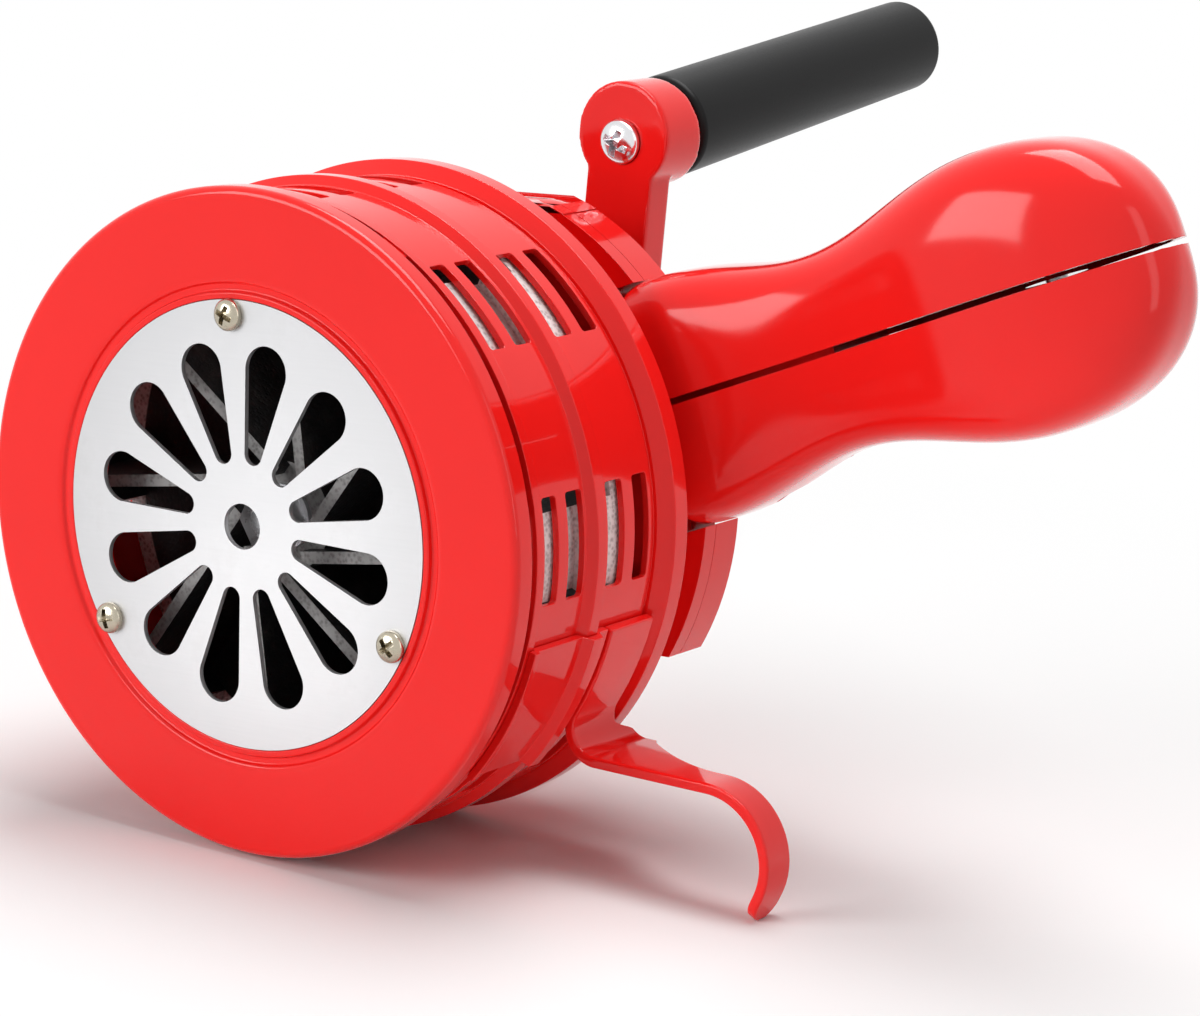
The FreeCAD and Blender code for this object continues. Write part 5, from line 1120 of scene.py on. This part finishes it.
class SIREN_OT_drum(bpy.types.Operator):
    """Turn the drum with its rim, bead, groove and flange, and cut its slots"""

    bl_idname = "siren.drum"
    bl_label = "Stator drum"

    def execute(self, context):
        size = context.scene.siren_drum
        inside = size.radius - size.wall
        bead_end = size.bead_start + size.bead_width
        groove_end = size.groove_start + size.groove_width
        flange = size.back - size.flange_width
        rear = size.back - size.spigot
        drum = lathe(
            "drum_shell",
            [
                (inside, size.front),
                (size.radius + size.rim_proud, size.front),
                (size.radius + size.rim_proud, size.front + size.rim_width),
                (size.radius, size.front + size.rim_width + size.rim_proud),
                (size.radius, size.bead_start),
                (size.radius + size.bead_proud, size.bead_start + size.bead_slope),
                (size.radius + size.bead_proud, bead_end - size.bead_slope),
                (size.radius, bead_end),
                (size.radius, size.groove_start),
                (size.radius - size.groove_depth, size.groove_start + size.groove_depth / 2),
                (size.radius - size.groove_depth, groove_end),
                (size.radius, groove_end),
                (size.flange_radius, flange),
                (size.flange_radius, size.back),
                (size.spigot_radius, size.back),
                (size.spigot_radius, rear),
                (size.bore, rear),
                (size.bore, rear - size.rear_wall),
                (inside, rear - size.rear_wall),
            ],
            steps=size.ports * size.group_steps,
        )
        place(drum, clock_matrix(math.pi / (size.ports * size.group_steps)))
        half = size.radius * math.sin(math.pi * size.port_steps / (size.ports * size.group_steps))
        rows = (
            (size.row_a, size.row_a_width),
            (size.row_b, size.row_b_width),
            (size.row_c, size.row_c_width),
            (size.row_d, size.row_d_width),
        )
        cutters = []
        for start, width in rows:
            row = block("slot", (-half, start, inside - size.spigot), (half, start + width, size.flange_radius))
            with editing(row, "EDGE"):
                pick(row, "EDGE", lambda edge: abs(edge.verts[0].co.z - edge.verts[1].co.z) > size.wall)
                bpy.ops.mesh.bevel(offset=size.port_corner, segments=3)
            for index in range(size.ports):
                cutter = duplicate(row, f"slot_{index}")
                place(cutter, clock_matrix(index * 2 * math.pi / size.ports))
                cutters.append(cutter)
            bpy.data.objects.remove(row)
        carve(drum, join("slot_punch", cutters))
        close_up(drum)
        soften(drum, size.edge, segments=3, limit=28)
        tabs = []
        for index in range(size.tabs):
            tab = block(
                f"tab_{index}",
                (-size.tab_width / 2, size.tab_front, size.tab_inside),
                (size.tab_width / 2, size.front + size.rim_width / 2, size.tab_inside + size.tab_thickness),
            )
            soften(tab, size.edge, segments=2)
            place(tab, clock_matrix(size.tab_clock + index * 2 * math.pi / size.tabs))
            tabs.append(tab)
        drum = join("drum_shell", [drum, *tabs])
        finish(drum, "frame", finish_for("drum_paint"), ["stator_drum"])
        return {"FINISHED"}


class SIREN_OT_foot(bpy.types.Operator):
    """Turn the curved foot plate and draw the hook strip along its bends"""

    bl_idname = "siren.foot"
    bl_label = "Foot plate and hook"

    def execute(self, context):
        self.make_plate(context.scene.siren_foot, context.scene.siren_drum)
        self.make_hook(context.scene.siren_foot, context.scene.siren_drum)
        return {"FINISHED"}

    def make_plate(self, size, drum):
        skin = drum.radius + size.gap
        start = drum.front + drum.rim_proud
        rim_end = drum.front + drum.rim_width
        bead_end = drum.bead_start + drum.bead_width
        under = [
            (skin + drum.rim_proud, start),
            (skin + drum.rim_proud, rim_end),
            (skin, rim_end + drum.rim_proud),
            (skin, drum.bead_start),
            (skin + drum.bead_proud, drum.bead_start + drum.bead_slope),
            (skin + drum.bead_proud, bead_end - drum.bead_slope),
            (skin, bead_end),
            (skin, bead_end + size.plate_lap),
        ]
        over = [(radius + size.plate_thickness, along) for radius, along in reversed(under)]
        plate = lathe("foot_plate_sheet", under + over, steps=270)
        for clock, side in ((size.clock, -1), (size.clock + size.plate_angle, 1)):
            slice_off(plate, (0, 0, 0), clock_matrix(clock) @ Vector((side, 0, 0)))
        close_up(plate)
        soften(plate, size.plate_edge, segments=3, limit=24)
        finish(plate, "frame", finish_for("foot_paint"), ["foot_plate"])

    def stations(self, size, middle):
        """Turns and runs of the strip's middle line, in short steps: each a run and a turn to the left."""
        step = math.radians(4)
        wrap_steps = round(size.wrap_angle / step)
        root_turn = size.clock + size.wrap_angle - size.slope
        root_steps = round(root_turn / step)
        tip_steps = round(size.tip_angle / step)
        straight_steps = 24
        tip_runs = 10
        moves = [(2 * middle * math.sin(size.wrap_angle / wrap_steps / 2), -size.wrap_angle / wrap_steps)]
        moves *= wrap_steps
        moves += [(2 * size.root_radius * math.sin(root_turn / root_steps / 2), root_turn / root_steps)] * root_steps
        moves += [(size.straight / straight_steps, 0.0)] * straight_steps
        moves += [(2 * size.tip_radius * math.sin(size.tip_angle / tip_steps / 2), -size.tip_angle / tip_steps)] * tip_steps
        moves += [(size.tip_length / tip_runs, 0.0)] * tip_runs
        return moves, wrap_steps + root_steps

    def make_hook(self, size, drum):
        middle = drum.radius + size.gap + size.thickness / 2
        x, z = middle * math.sin(size.clock), middle * math.cos(size.clock)
        heading = -size.clock
        moves, root_end = self.stations(size, middle)
        strip = new_primitive(
            "foot_hook_strip",
            bpy.ops.mesh.primitive_plane_add,
            stretch=(size.thickness, size.wrap_width, 1),
            size=1,
            location=(x, size.front + size.wrap_width / 2, z),
            rotation=(0, math.pi / 2 - heading, 0),
        )
        width = size.wrap_width
        taper_start = None
        left_over = len(moves)
        nose_steps = 8
        with editing(strip):
            bpy.ops.mesh.select_all(action="SELECT")
            for index, (run, turn) in enumerate(moves):
                left_over -= 1
                chord = heading + turn / 2
                dx, dz = run * math.cos(chord), run * math.sin(chord)
                x, z, heading = x + dx, z + dz, heading + turn
                bpy.ops.mesh.extrude_region_move(TRANSFORM_OT_translate={"value": (dx, 0, dz)})
                bpy.ops.transform.rotate(value=turn, orient_axis="Y", center_override=(x, size.front, z))
                if index == root_end:
                    taper_start = x + size.taper_gap
                away = math.hypot(x, z) - drum.flange_radius - size.gap
                if taper_start is None:
                    swell = min(1.0, max(0.0, away / size.shoulder))
                    wanted = size.wrap_width + (size.root_width - size.wrap_width) * swell * swell * (3 - 2 * swell)
                else:
                    share = min(1.0, max(0.0, (x - taper_start) / size.taper))
                    wanted = size.tip_width + (size.root_width - size.tip_width) * (1 - share) ** 1.75
                    if index < root_end + 2:
                        wanted = max(wanted, width)
                centre_along = size.front
                if left_over < nose_steps:
                    share = 1 - left_over / nose_steps
                    wanted = max(0.3, math.sqrt(1 - share * share)) * size.tip_width
                    centre_along = size.front + size.tip_width / 2
                bpy.ops.transform.resize(
                    value=(1, wanted / width, 1), center_override=(x, centre_along, z)
                )
                width = wanted
        close_up(strip)
        soften(strip, size.edge, segments=4, limit=50)
        finish(strip, "frame", finish_for("foot_paint"), ["foot_hook"], smooth=50)


class SIREN_OT_housing(bpy.types.Operator):
    """Turn and flatten the gear housing and its cover"""

    bl_idname = "siren.housing"
    bl_label = "Gear housing and cover"

    def flat_disc(self, name, radius, start, end, top, bottom, corner=0.0):
        """A disc with an upper and a lower flat, and rounded corners beside them."""
        disc = lathe(name, [(radius, start), (radius, end)], steps=160, closed=False)
        slice_off(disc, (0, 0, top), (0, 0, 1))
        slice_off(disc, (0, 0, -bottom), (0, 0, -1))
        close_up(disc, 1e-5)

        def at_flat(edge):
            ends = [vertex.co for vertex in edge.verts]
            along = abs(ends[0].y - ends[1].y) > 0.5 * (end - start)
            level = all(abs(co.z - top) < 1e-5 or abs(co.z + bottom) < 1e-5 for co in ends)
            return along and level

        if corner:
            with editing(disc, "EDGE"):
                pick(disc, "EDGE", at_flat)
                bpy.ops.mesh.bevel(offset=corner, segments=6)
        return disc

    def grip_side(self, name, size, grip, start, end, inset=0.0):
        """What the grip's base takes away beside the housing."""
        half = grip.base_height + size.seam + inset
        room = block(name, (-half, start, grip.start - inset), (half, end, 2 * size.rim_radius))
        place(room, clock_matrix(grip.clock))
        return room

    def execute(self, context):
        size = context.scene.siren_housing
        grip = context.scene.siren_grip
        drum = context.scene.siren_drum
        neck = self.flat_disc(
            "gear_housing_shell",
            size.neck_radius,
            drum.back,
            size.rim_start + size.edge,
            size.neck_top,
            size.neck_bottom,
        )
        rim = self.flat_disc(
            "housing_rim", size.rim_radius, size.rim_start, size.cover_start - size.seam, size.top, size.bottom,
            size.corner,
        )
        spigot = rod("housing_spigot", size.spigot_radius, size.spigot_start, drum.back + 2 * size.seam, steps=128)
        hollow = self.flat_disc(
            "housing_hollow",
            size.neck_radius - size.wall,
            size.spigot_start + size.wall,
            size.boss_back,
            size.neck_top - size.wall,
            size.neck_bottom - size.wall,
        )
        keep = self.grip_side("hollow_wall", size, grip, 0.0, size.boss_back, size.wall)
        carve(hollow, keep)
        carve(neck, rim, spigot, operation="UNION")
        carve(neck, self.grip_side("housing_room", size, grip, drum.back + size.seam, size.boss_back))
        carve(neck, hollow)
        lug = block(
            "housing_lug",
            (-size.lug_half, grip.centre - size.lug_width / 2, grip.start - size.wall),
            (size.lug_half, grip.centre + size.lug_width / 2, size.lug_end),
        )
        place(lug, clock_matrix(grip.clock))
        carve(neck, lug, operation="UNION")
        close_up(neck, 2e-5)
        soften(neck, size.edge, segments=3, limit=40)
        finish(neck, "frame", finish_for("housing_paint"), ["gear_housing"])
        self.make_cover(size, grip)
        return {"FINISHED"}

    def make_cover(self, size, grip):
        cover = self.flat_disc(
            "gear_cover_shell", size.rim_radius, size.cover_start, size.cover_back, size.top, size.bottom,
            size.corner,
        )
        with editing(cover, "EDGE"):
            pick(cover, "EDGE", lambda edge: all(abs(v.co.y - size.cover_back) < 1e-6 for v in edge.verts))
            bpy.ops.mesh.bevel(offset=size.cover_edge, segments=5, clamp_overlap=True)
        x, y, z = joint_named("crank_turn")["pos_m"]
        hollow = self.flat_disc(
            "cover_hollow",
            size.rim_radius - size.wall,
            0.0,
            size.cover_inside,
            size.top - size.wall,
            size.bottom - size.wall,
        )
        carve(hollow, self.grip_side("cover_wall", size, grip, -size.wall, size.boss_back, size.wall))
        carve(cover, hollow)
        carve(cover, self.grip_side("cover_room", size, grip, 0.0, size.cover_back + size.wall))
        boss = rod("cover_boss", size.boss_radius, size.cover_inside - size.edge, size.boss_back, (x, z), steps=72)
        carve(cover, boss, operation="UNION")
        carve(cover, rod("cover_bore", size.boss_bore, 0.0, 2 * size.boss_back, (x, z), steps=48))
        close_up(cover, 2e-5)
        soften(cover, size.edge, segments=3, limit=40)
        finish(cover, "frame", finish_for("housing_paint"), ["gear_cover"])


class SIREN_OT_grip(bpy.types.Operator):
    """Draw the two thin shells of the hand grip"""

    bl_idname = "siren.grip"
    bl_label = "Hand grip"

    def half_size(self, size, distance, base, waist, bulb):
        """Half size of the section at a distance from the base."""
        waist_at = size.base + size.neck
        bulb_at = waist_at + size.swell
        if distance < size.corner:
            short = 1 - distance / size.corner
            return base - size.corner * (1 - math.sqrt(max(0.0, 1 - short * short)))
        if distance < size.base:
            return base
        if distance < waist_at:
            return base + (waist - base) * (1 - math.cos(math.pi * (distance - size.base) / size.neck)) / 2
        if distance < bulb_at:
            return waist + (bulb - waist) * (1 - math.cos(math.pi * (distance - waist_at) / size.swell)) / 2
        share = (distance - bulb_at) / size.end
        return bulb * max(0.0, 1 - share**size.end_power) ** (1 / size.end_power)

    def section(self, size, distance):
        high = self.half_size(size, distance, size.base_height, size.waist_height, size.bulb_height)
        deep = self.half_size(size, distance, size.base_depth, size.waist_depth, size.bulb_depth)
        return high, deep

    def whole_form(self, size):
        """The grip's whole outer form along +Z, drawn from its base one section after another."""
        reach = size.base + size.neck + size.swell + size.end
        rise = [size.corner * (1 - math.cos(math.pi / 2 * index / 8)) for index in range(9)]
        bulb_at = reach - size.end
        steps = 34
        rise += [size.corner + (bulb_at - size.corner) * (index + 1) / steps for index in range(steps)]
        rise += [bulb_at + size.end * math.sin(math.radians(4.2 * (index + 1))) for index in range(21)]
        high, deep = self.section(size, 0.0)
        form = new_primitive(
            "grip_form",
            bpy.ops.mesh.primitive_plane_add,
            size=2,
            location=(0, size.centre, size.start),
        )
        with editing(form):
            bpy.ops.mesh.select_all(action="SELECT")
            bpy.ops.mesh.bevel(
                affect="VERTICES",
                offset_type="PERCENT",
                offset_pct=50,
                segments=24,
                profile=2 ** (-2 / size.squareness),
            )
            bpy.ops.mesh.select_all(action="SELECT")
            bpy.ops.mesh.remove_doubles(threshold=1e-5)
            bpy.ops.mesh.select_all(action="SELECT")
            base = (0, size.centre, size.start)
            bpy.ops.transform.resize(value=(high, deep, 1), center_override=base)
            distance = 0.0
            for next_distance in rise[1:]:
                move = (0, 0, next_distance - distance)
                next_high, next_deep = self.section(size, next_distance)
                bpy.ops.mesh.extrude_region_move(TRANSFORM_OT_translate={"value": move})
                bpy.ops.transform.resize(
                    value=(next_high / high, next_deep / deep, 1),
                    center_override=(0, size.centre, size.start + next_distance),
                )
                distance, high, deep = next_distance, next_high, next_deep
        close_up(form)
        return form

    def half_shell(self, form, size, name, side):
        """A half of the form with its wall, screw pillars and slot; the side is +1 below and -1 above."""
        solid = duplicate(form, f"{name}_solid")
        plane = (side * size.seam / 2, 0, 0)
        slice_off(solid, plane, (-side, 0, 0))
        shell = duplicate(form, name)
        with editing(shell):
            bpy.ops.mesh.select_all(action="SELECT")
            bpy.ops.mesh.bisect(plane_co=plane, plane_no=(-side, 0, 0), clear_outer=True)
        apply_modifier(shell, "SOLIDIFY", thickness=size.wall, offset=-1.0, use_even_offset=True)
        soften(shell, size.edge, segments=2, limit=60)
        pillars = []
        holes = []
        for index, distance in enumerate((size.screw_near, size.screw_middle, size.screw_far)):
            middle = (distance, size.centre + size.screw_offset)
            pillar = self.across(f"pillar_{index}", size.boss_radius, side * size.seam / 2, side * 0.03, middle)
            pillars.append(pillar)
            if side > 0:
                holes.append(self.across(f"hole_{index}", size.seat_radius, size.seat, 0.04, middle))
                holes.append(self.across(f"bore_{index}", size.bore, 0.0, 0.04, middle))
        pillars = join(f"{name}_pillars", pillars)
        carve(pillars, solid, operation="INTERSECT")
        carve(shell, pillars, operation="UNION")
        if holes:
            carve(shell, *holes)
        housing = bpy.context.scene.siren_housing
        play = size.seam / 6
        slot = block(
            f"{name}_slot",
            (-housing.lug_half - play, size.centre - housing.lug_width / 2 - play, size.start - play),
            (
                housing.lug_half + play,
                size.centre + housing.lug_width / 2 + play,
                housing.lug_end + play,
            ),
        )
        carve(shell, slot)
        close_up(shell, None)
        place(shell, clock_matrix(size.clock))
        return shell

    def across(self, name, radius, start, end, middle):
        """A cylinder across the seam at a distance along the grip and a place along the siren."""
        item = rod(name, radius, min(start, end), max(start, end), steps=40)
        distance, along = middle
        turn = Matrix.Translation((0, along, distance)) @ Matrix.Rotation(-math.pi / 2, 4, "Z")
        place(item, turn)
        return item

    def execute(self, context):
        size = context.scene.siren_grip
        form = self.whole_form(size)
        for name, side, node in (("grip_upper_shell", -1, "grip_upper"), ("grip_lower_shell", 1, "grip_lower")):
            shell = self.half_shell(form, size, name, side)
            finish(shell, "frame", finish_for("grip_paint"), [node], smooth=40)
        bpy.data.objects.remove(form)
        return {"FINISHED"}


class SIREN_OT_arm(bpy.types.Operator):
    """Join the arm's hub, bar and eye and give them one rounded cast skin"""

    bl_idname = "siren.arm"
    bl_label = "Crank arm"

    def execute(self, context):
        size = context.scene.siren_crank
        back = size.front + size.thickness
        half = size.width / 2
        arm = block("crank_arm_casting", (-half, size.front, 0.0), (half, back, size.length))
        hub = rod("arm_hub", size.eye_radius, size.hub_front, back, steps=96)
        eye = rod("arm_eye", size.eye_radius, size.front, size.front + 2 * size.eye_depth, (0, size.length), steps=96)
        seat = eye_matrix()
        slice_off(eye, seat.translation, seat.to_3x3() @ Vector((0, 1, 0)))
        carve(arm, hub, eye, operation="UNION")
        apply_modifier(arm, "REMESH", mode="VOXEL", voxel_size=size.skin)
        apply_modifier(arm, "SMOOTH", factor=0.5, iterations=size.rounding)
        spot = rod("spot", size.spot_radius, -3 * size.eye_depth, size.spot_depth - size.eye_depth, steps=48)
        place(spot, seat)
        carve(arm, spot, rod("arm_bore", size.bore, 0.0, 2 * back, steps=48))
        place(arm, crank_matrix())
        finish(arm, "crank", finish_for("crank_paint"), ["crank_arm"], smooth=42)
        return {"FINISHED"}


class SIREN_OT_knob(bpy.types.Operator):
    """Turn the black knob and its end cap"""

    bl_idname = "siren.knob"
    bl_label = "Knob"

    def execute(self, context):
        size = context.scene.siren_crank
        near = size.knob_start
        end = near + size.knob_length
        rows = 12
        outside = []
        for index in range(rows + 1):
            share = index / rows
            outside.append((size.knob_near + (size.knob_far - size.knob_near) * share, near + share * size.knob_length))
        seat = end - size.cap_depth
        knob = lathe(
            "knob_sleeve",
            [(size.knob_bore, near), *outside, (size.cap_radius, end), (size.cap_radius, seat), (size.knob_bore, seat)],
            steps=96,
        )

        def at_end(edge):
            return all(
                min(abs(v.co.y - near), abs(v.co.y - end)) < 1e-6 and math.hypot(v.co.x, v.co.z) > 0.9 * size.knob_far
                for v in edge.verts
            )

        with editing(knob, "EDGE"):
            pick(knob, "EDGE", at_end)
            bpy.ops.mesh.bevel(offset=size.knob_edge, segments=6)
        soften(knob, size.seam, segments=2)
        cap_radius = size.cap_radius - size.seam
        cap = lathe(
            "knob_end_cap",
            [
                (0.5 * cap_radius, end),
                (0.86 * cap_radius, end - 0.3 * size.seam),
                (cap_radius, end - size.seam),
                (cap_radius, end - size.cap_length),
            ],
            steps=64,
            closed=False,
        )
        soften(cap, 0.5 * size.seam, segments=2)
        matrix = crank_matrix() @ eye_matrix()
        for item, node in ((knob, "knob"), (cap, "knob_cap")):
            place(item, matrix)
            finish(item, "knob", finish_for("knob_plastic"), [node])
        return {"FINISHED"}


class SIREN_OT_screws(bpy.types.Operator):
    """Turn one screw of each kind and copy it to its places"""

    bl_idname = "siren.screws"
    bl_label = "Screws"

    def execute(self, context):
        size = context.scene.siren_screws
        crank = context.scene.siren_crank
        grille = context.scene.siren_grille
        grip = context.scene.siren_grip
        housing = context.scene.siren_housing
        small = pan_screw("grille_screw", size.small_head, size.small_height, size.small_shank, size.small_length, 0.4)
        places = []
        for index in range(3):
            across = clock_matrix(grille.clock + index * 2 * math.pi / 3) @ Vector((0, 0, size.grille_place))
            places.append(Matrix.Translation(across) @ clock_matrix(0.5 * index))
        self.copies(small, "grille_screw_set", places, "frame", "screw_zinc", "grille_screws")
        main = pan_screw("main_screw", size.main_head, size.main_height, size.main_shank, size.cover_length)
        places = []
        for index, degrees in enumerate((30, 108, 250, 325)):
            across = clock_matrix(math.radians(degrees)) @ Vector((0, housing.cover_back, size.cover_place))
            places.append(Matrix.Translation(across) @ Matrix.Rotation(math.pi, 4, "Z") @ clock_matrix(0.7 * index))
        self.copies(main, "cover_screw_set", places, "frame", "screw_steel", "cover_screws")
        long = pan_screw("grip_screw", size.main_head, size.main_height, size.main_shank, size.grip_length)
        places = []
        for distance in (grip.screw_near, grip.screw_middle, grip.screw_far):
            seat = Matrix.Translation((grip.seat, grip.centre + grip.screw_offset, distance))
            places.append(clock_matrix(grip.clock) @ seat @ Matrix.Rotation(math.pi / 2, 4, "Z"))
        self.copies(long, "grip_screw_set", places, "frame", "screw_steel", "grip_screws")
        big = pan_screw("arm_screw", size.large_head, size.large_height, size.large_shank, size.knob_length, 0.35)
        front = Matrix.Translation((0, crank.spot_depth - crank.eye_depth, 0))
        self.copies(big, "knob_screw_bright", [crank_matrix() @ eye_matrix() @ front], "crank", "screw_bright", "knob_screw")
        short = pan_screw("hub_screw", size.large_head, size.large_height, size.large_shank, size.crank_length, 0.2)
        seat = Matrix.Translation((0, high("crank_washer").y, 0)) @ Matrix.Rotation(math.pi, 4, "Z")
        self.copies(short, "crank_screw_bright", [crank_matrix() @ seat], "crank", "screw_bright", "crank_screw")
        return {"FINISHED"}

    def copies(self, screw, name, places, body, slot, node):
        """Copies of one screw at its places, as one piece."""
        made = []
        for index, matrix in enumerate(places):
            copy = duplicate(screw, f"{name}_{index}")
            place(copy, matrix)
            made.append(copy)
        bpy.data.objects.remove(screw)
        finish(join(name, made), body, finish_for(slot), [node])


class SirenStage(bpy.types.PropertyGroup):
    """Camera, floor and lamps."""

    lens: FloatProperty(name="Lens", description="Focal length of the camera", default=113.857, unit="CAMERA")
    reach: length("Floor reach", 3.0, "Half width of the floor")
    fade: length("Fade", 0.42, "Distance at which the floor is plain white")
    key: FloatProperty(name="Key", description="Power of the key lamp in watts", default=12.6)
    top: FloatProperty(name="Top", description="Power of the top lamp in watts", default=12.0)
    side: FloatProperty(name="Side", description="Power of the side lamp in watts", default=1.2)
    fill: FloatProperty(name="Fill", description="Strength of the surrounding light", default=0.24)


def white_for_camera(graph):
    """A mask that is 1 for what the camera sees directly, in a mirror or through glass."""
    rays = graph.add("ShaderNodeLightPath").outputs
    seen = graph.maths("MAXIMUM", rays["Is Camera Ray"], rays["Is Glossy Ray"])
    return graph.maths("MAXIMUM", seen, rays["Is Transmission Ray"])


def make_world(size):
    world = bpy.data.worlds.new("studio")
    bpy.context.scene.world = world
    world.use_nodes = True
    graph = Graph(world.node_tree)
    graph.tree.nodes.clear()
    plain = graph.add("ShaderNodeBackground", {"Color": (1.0, 1.0, 1.0), "Strength": size.fill})
    white = graph.add("ShaderNodeBackground", {"Color": (1.0, 1.0, 1.0), "Strength": 1.0})
    mixed = graph.add("ShaderNodeMixShader")
    graph.put(mixed.inputs[0], white_for_camera(graph))
    graph.tree.links.new(plain.outputs[0], mixed.inputs[1])
    graph.tree.links.new(white.outputs[0], mixed.inputs[2])
    output = graph.add("ShaderNodeOutputWorld")
    graph.tree.links.new(mixed.outputs[0], output.inputs[0])


def floor_material(size):
    """A pale floor that turns to the plain white of the surroundings away from the siren."""
    material = bpy.data.materials.new("studio_floor")
    material.use_nodes = True
    graph = Graph(material.node_tree)
    graph.tree.nodes.clear()
    place = graph.add("ShaderNodeTexCoord").outputs["Object"]
    tone = bpy.context.scene.siren_colours.floor
    paper = graph.noise(place, 40.0, 3.0)
    pale = graph.blend(graph.ramp(paper, 0.3, 0.7, 0.0, 0.02), tuple(tone), (0.80, 0.80, 0.80))
    lit = graph.add("ShaderNodeBsdfDiffuse", {"Color": pale})
    white = graph.add("ShaderNodeEmission", {"Color": (1.0, 1.0, 1.0), "Strength": 1.0})
    away = graph.add("ShaderNodeVectorMath", operation="LENGTH")
    graph.put(away.inputs[0], place)
    far = graph.ramp(away.outputs["Value"], size.fade * 0.25, size.fade, 0.0, 1.0)
    mixed = graph.add("ShaderNodeMixShader")
    graph.put(mixed.inputs[0], graph.maths("MULTIPLY", far, white_for_camera(graph)))
    graph.tree.links.new(lit.outputs[0], mixed.inputs[1])
    graph.tree.links.new(white.outputs[0], mixed.inputs[2])
    output = graph.add("ShaderNodeOutputMaterial")
    graph.tree.links.new(mixed.outputs[0], output.inputs[0])
    return material


def rest_tilt():
    """Turn about Y and drop of the plane that the drum and the hook rest on."""
    drum = -low("stator_drum").z
    leans = []
    for vertex in frame["nodes"]["foot_hook"].data.vertices:
        x, y, z = vertex.co
        span = math.hypot(x, z)
        if span > drum:
            leans.append(math.acos(drum / span) - math.atan2(x, -z))
    return max(leans), drum


def lamp(name, watts, width, depth, location, target=(0.03, 0.05, 0.0)):
    light = bpy.data.lights.new(name, "AREA")
    light.shape = "RECTANGLE"
    light.size, light.size_y = width, depth
    light.energy = watts
    item = bpy.data.objects.new(name, light)
    bpy.context.scene.collection.objects.link(item)
    item.location = location
    item.rotation_mode = "QUATERNION"
    item.rotation_quaternion = (Vector(target) - Vector(location)).to_track_quat("-Z", "Y")
    return item


class SIREN_OT_stage(bpy.types.Operator):
    """Add the floor, the surroundings, the lamps and the camera"""

    bl_idname = "siren.stage"
    bl_label = "Stage"

    def execute(self, context):
        size = context.scene.siren_stage
        scene = context.scene
        lean, drop = rest_tilt()
        floor = new_primitive("floor", bpy.ops.mesh.primitive_plane_add, size=2 * size.reach)
        place(floor, Matrix.Rotation(lean, 4, "Y") @ Matrix.Translation((0, 0, -drop)))
        floor.data.materials.append(floor_material(size))
        make_world(size)
        lamp("key_lamp", size.key, 0.9, 0.7, (-0.60, -1.15, 0.48))
        lamp("top_lamp", size.top, 1.1, 0.5, (0.15, 0.25, 1.05))
        lamp("side_lamp", size.side, 0.25, 0.9, (1.15, -0.15, 0.35))
        camera = bpy.data.cameras.new("camera")
        camera.sensor_width = 36.0
        camera.lens = size.lens
        camera.clip_start = 0.01
        item = bpy.data.objects.new("camera", camera)
        scene.collection.objects.link(item)
        ahead = Vector((-0.5677, 0.8013, -0.1888)).normalized()
        aside = Vector((0.8164, 0.5774, -0.0043))
        above = aside.cross(ahead).normalized()
        aside = ahead.cross(above)
        turn = Matrix((aside, above, -ahead)).transposed().to_4x4()
        turn.translation = Vector((0.43019, -0.49823, 0.12904))
        item.matrix_world = turn
        scene.camera = item
        scene.view_settings.view_transform = "Standard"
        return {"FINISHED"}


class SIREN_PT_panel(bpy.types.Panel):
    """Lists the siren's pieces in the order in which they are made"""

    bl_label = "Hand crank siren"
    bl_idname = "SIREN_PT_panel"
    bl_space_type = "VIEW_3D"
    bl_region_type = "UI"
    bl_category = "Siren"

    def draw(self, context):
        for operator in OPERATORS:
            self.layout.operator(operator.bl_idname)


OPERATORS = (
    SIREN_OT_stage,
    SIREN_OT_finishes,
    SIREN_OT_front_ring,
    SIREN_OT_grille,
    SIREN_OT_drum,
    SIREN_OT_foot,
    SIREN_OT_housing,
    SIREN_OT_grip,
    SIREN_OT_arm,
    SIREN_OT_knob,
    SIREN_OT_screws,
)
SETTINGS = {
    "siren_ring": SirenRing,
    "siren_grille": SirenGrille,
    "siren_drum": SirenDrum,
    "siren_foot": SirenFoot,
    "siren_housing": SirenHousing,
    "siren_grip": SirenGrip,
    "siren_crank": SirenCrank,
    "siren_screws": SirenScrews,
    "siren_colours": SirenColours,
    "siren_stage": SirenStage,
}
CLASSES = (*SETTINGS.values(), *OPERATORS, SIREN_PT_panel)


def register():
    for item in CLASSES:
        bpy.utils.register_class(item)
    for name, group in SETTINGS.items():
        setattr(bpy.types.Scene, name, PointerProperty(type=group))


def unregister():
    for name in SETTINGS:
        delattr(bpy.types.Scene, name)
    for item in reversed(CLASSES):
        bpy.utils.unregister_class(item)


def main():
    """Register the settings and operators, and build every piece."""
    register()
    for operator in OPERATORS:
        group, name = operator.bl_idname.split(".")
        getattr(getattr(bpy.ops, group), name)()
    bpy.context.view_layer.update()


if __name__ == "__main__":
    main()
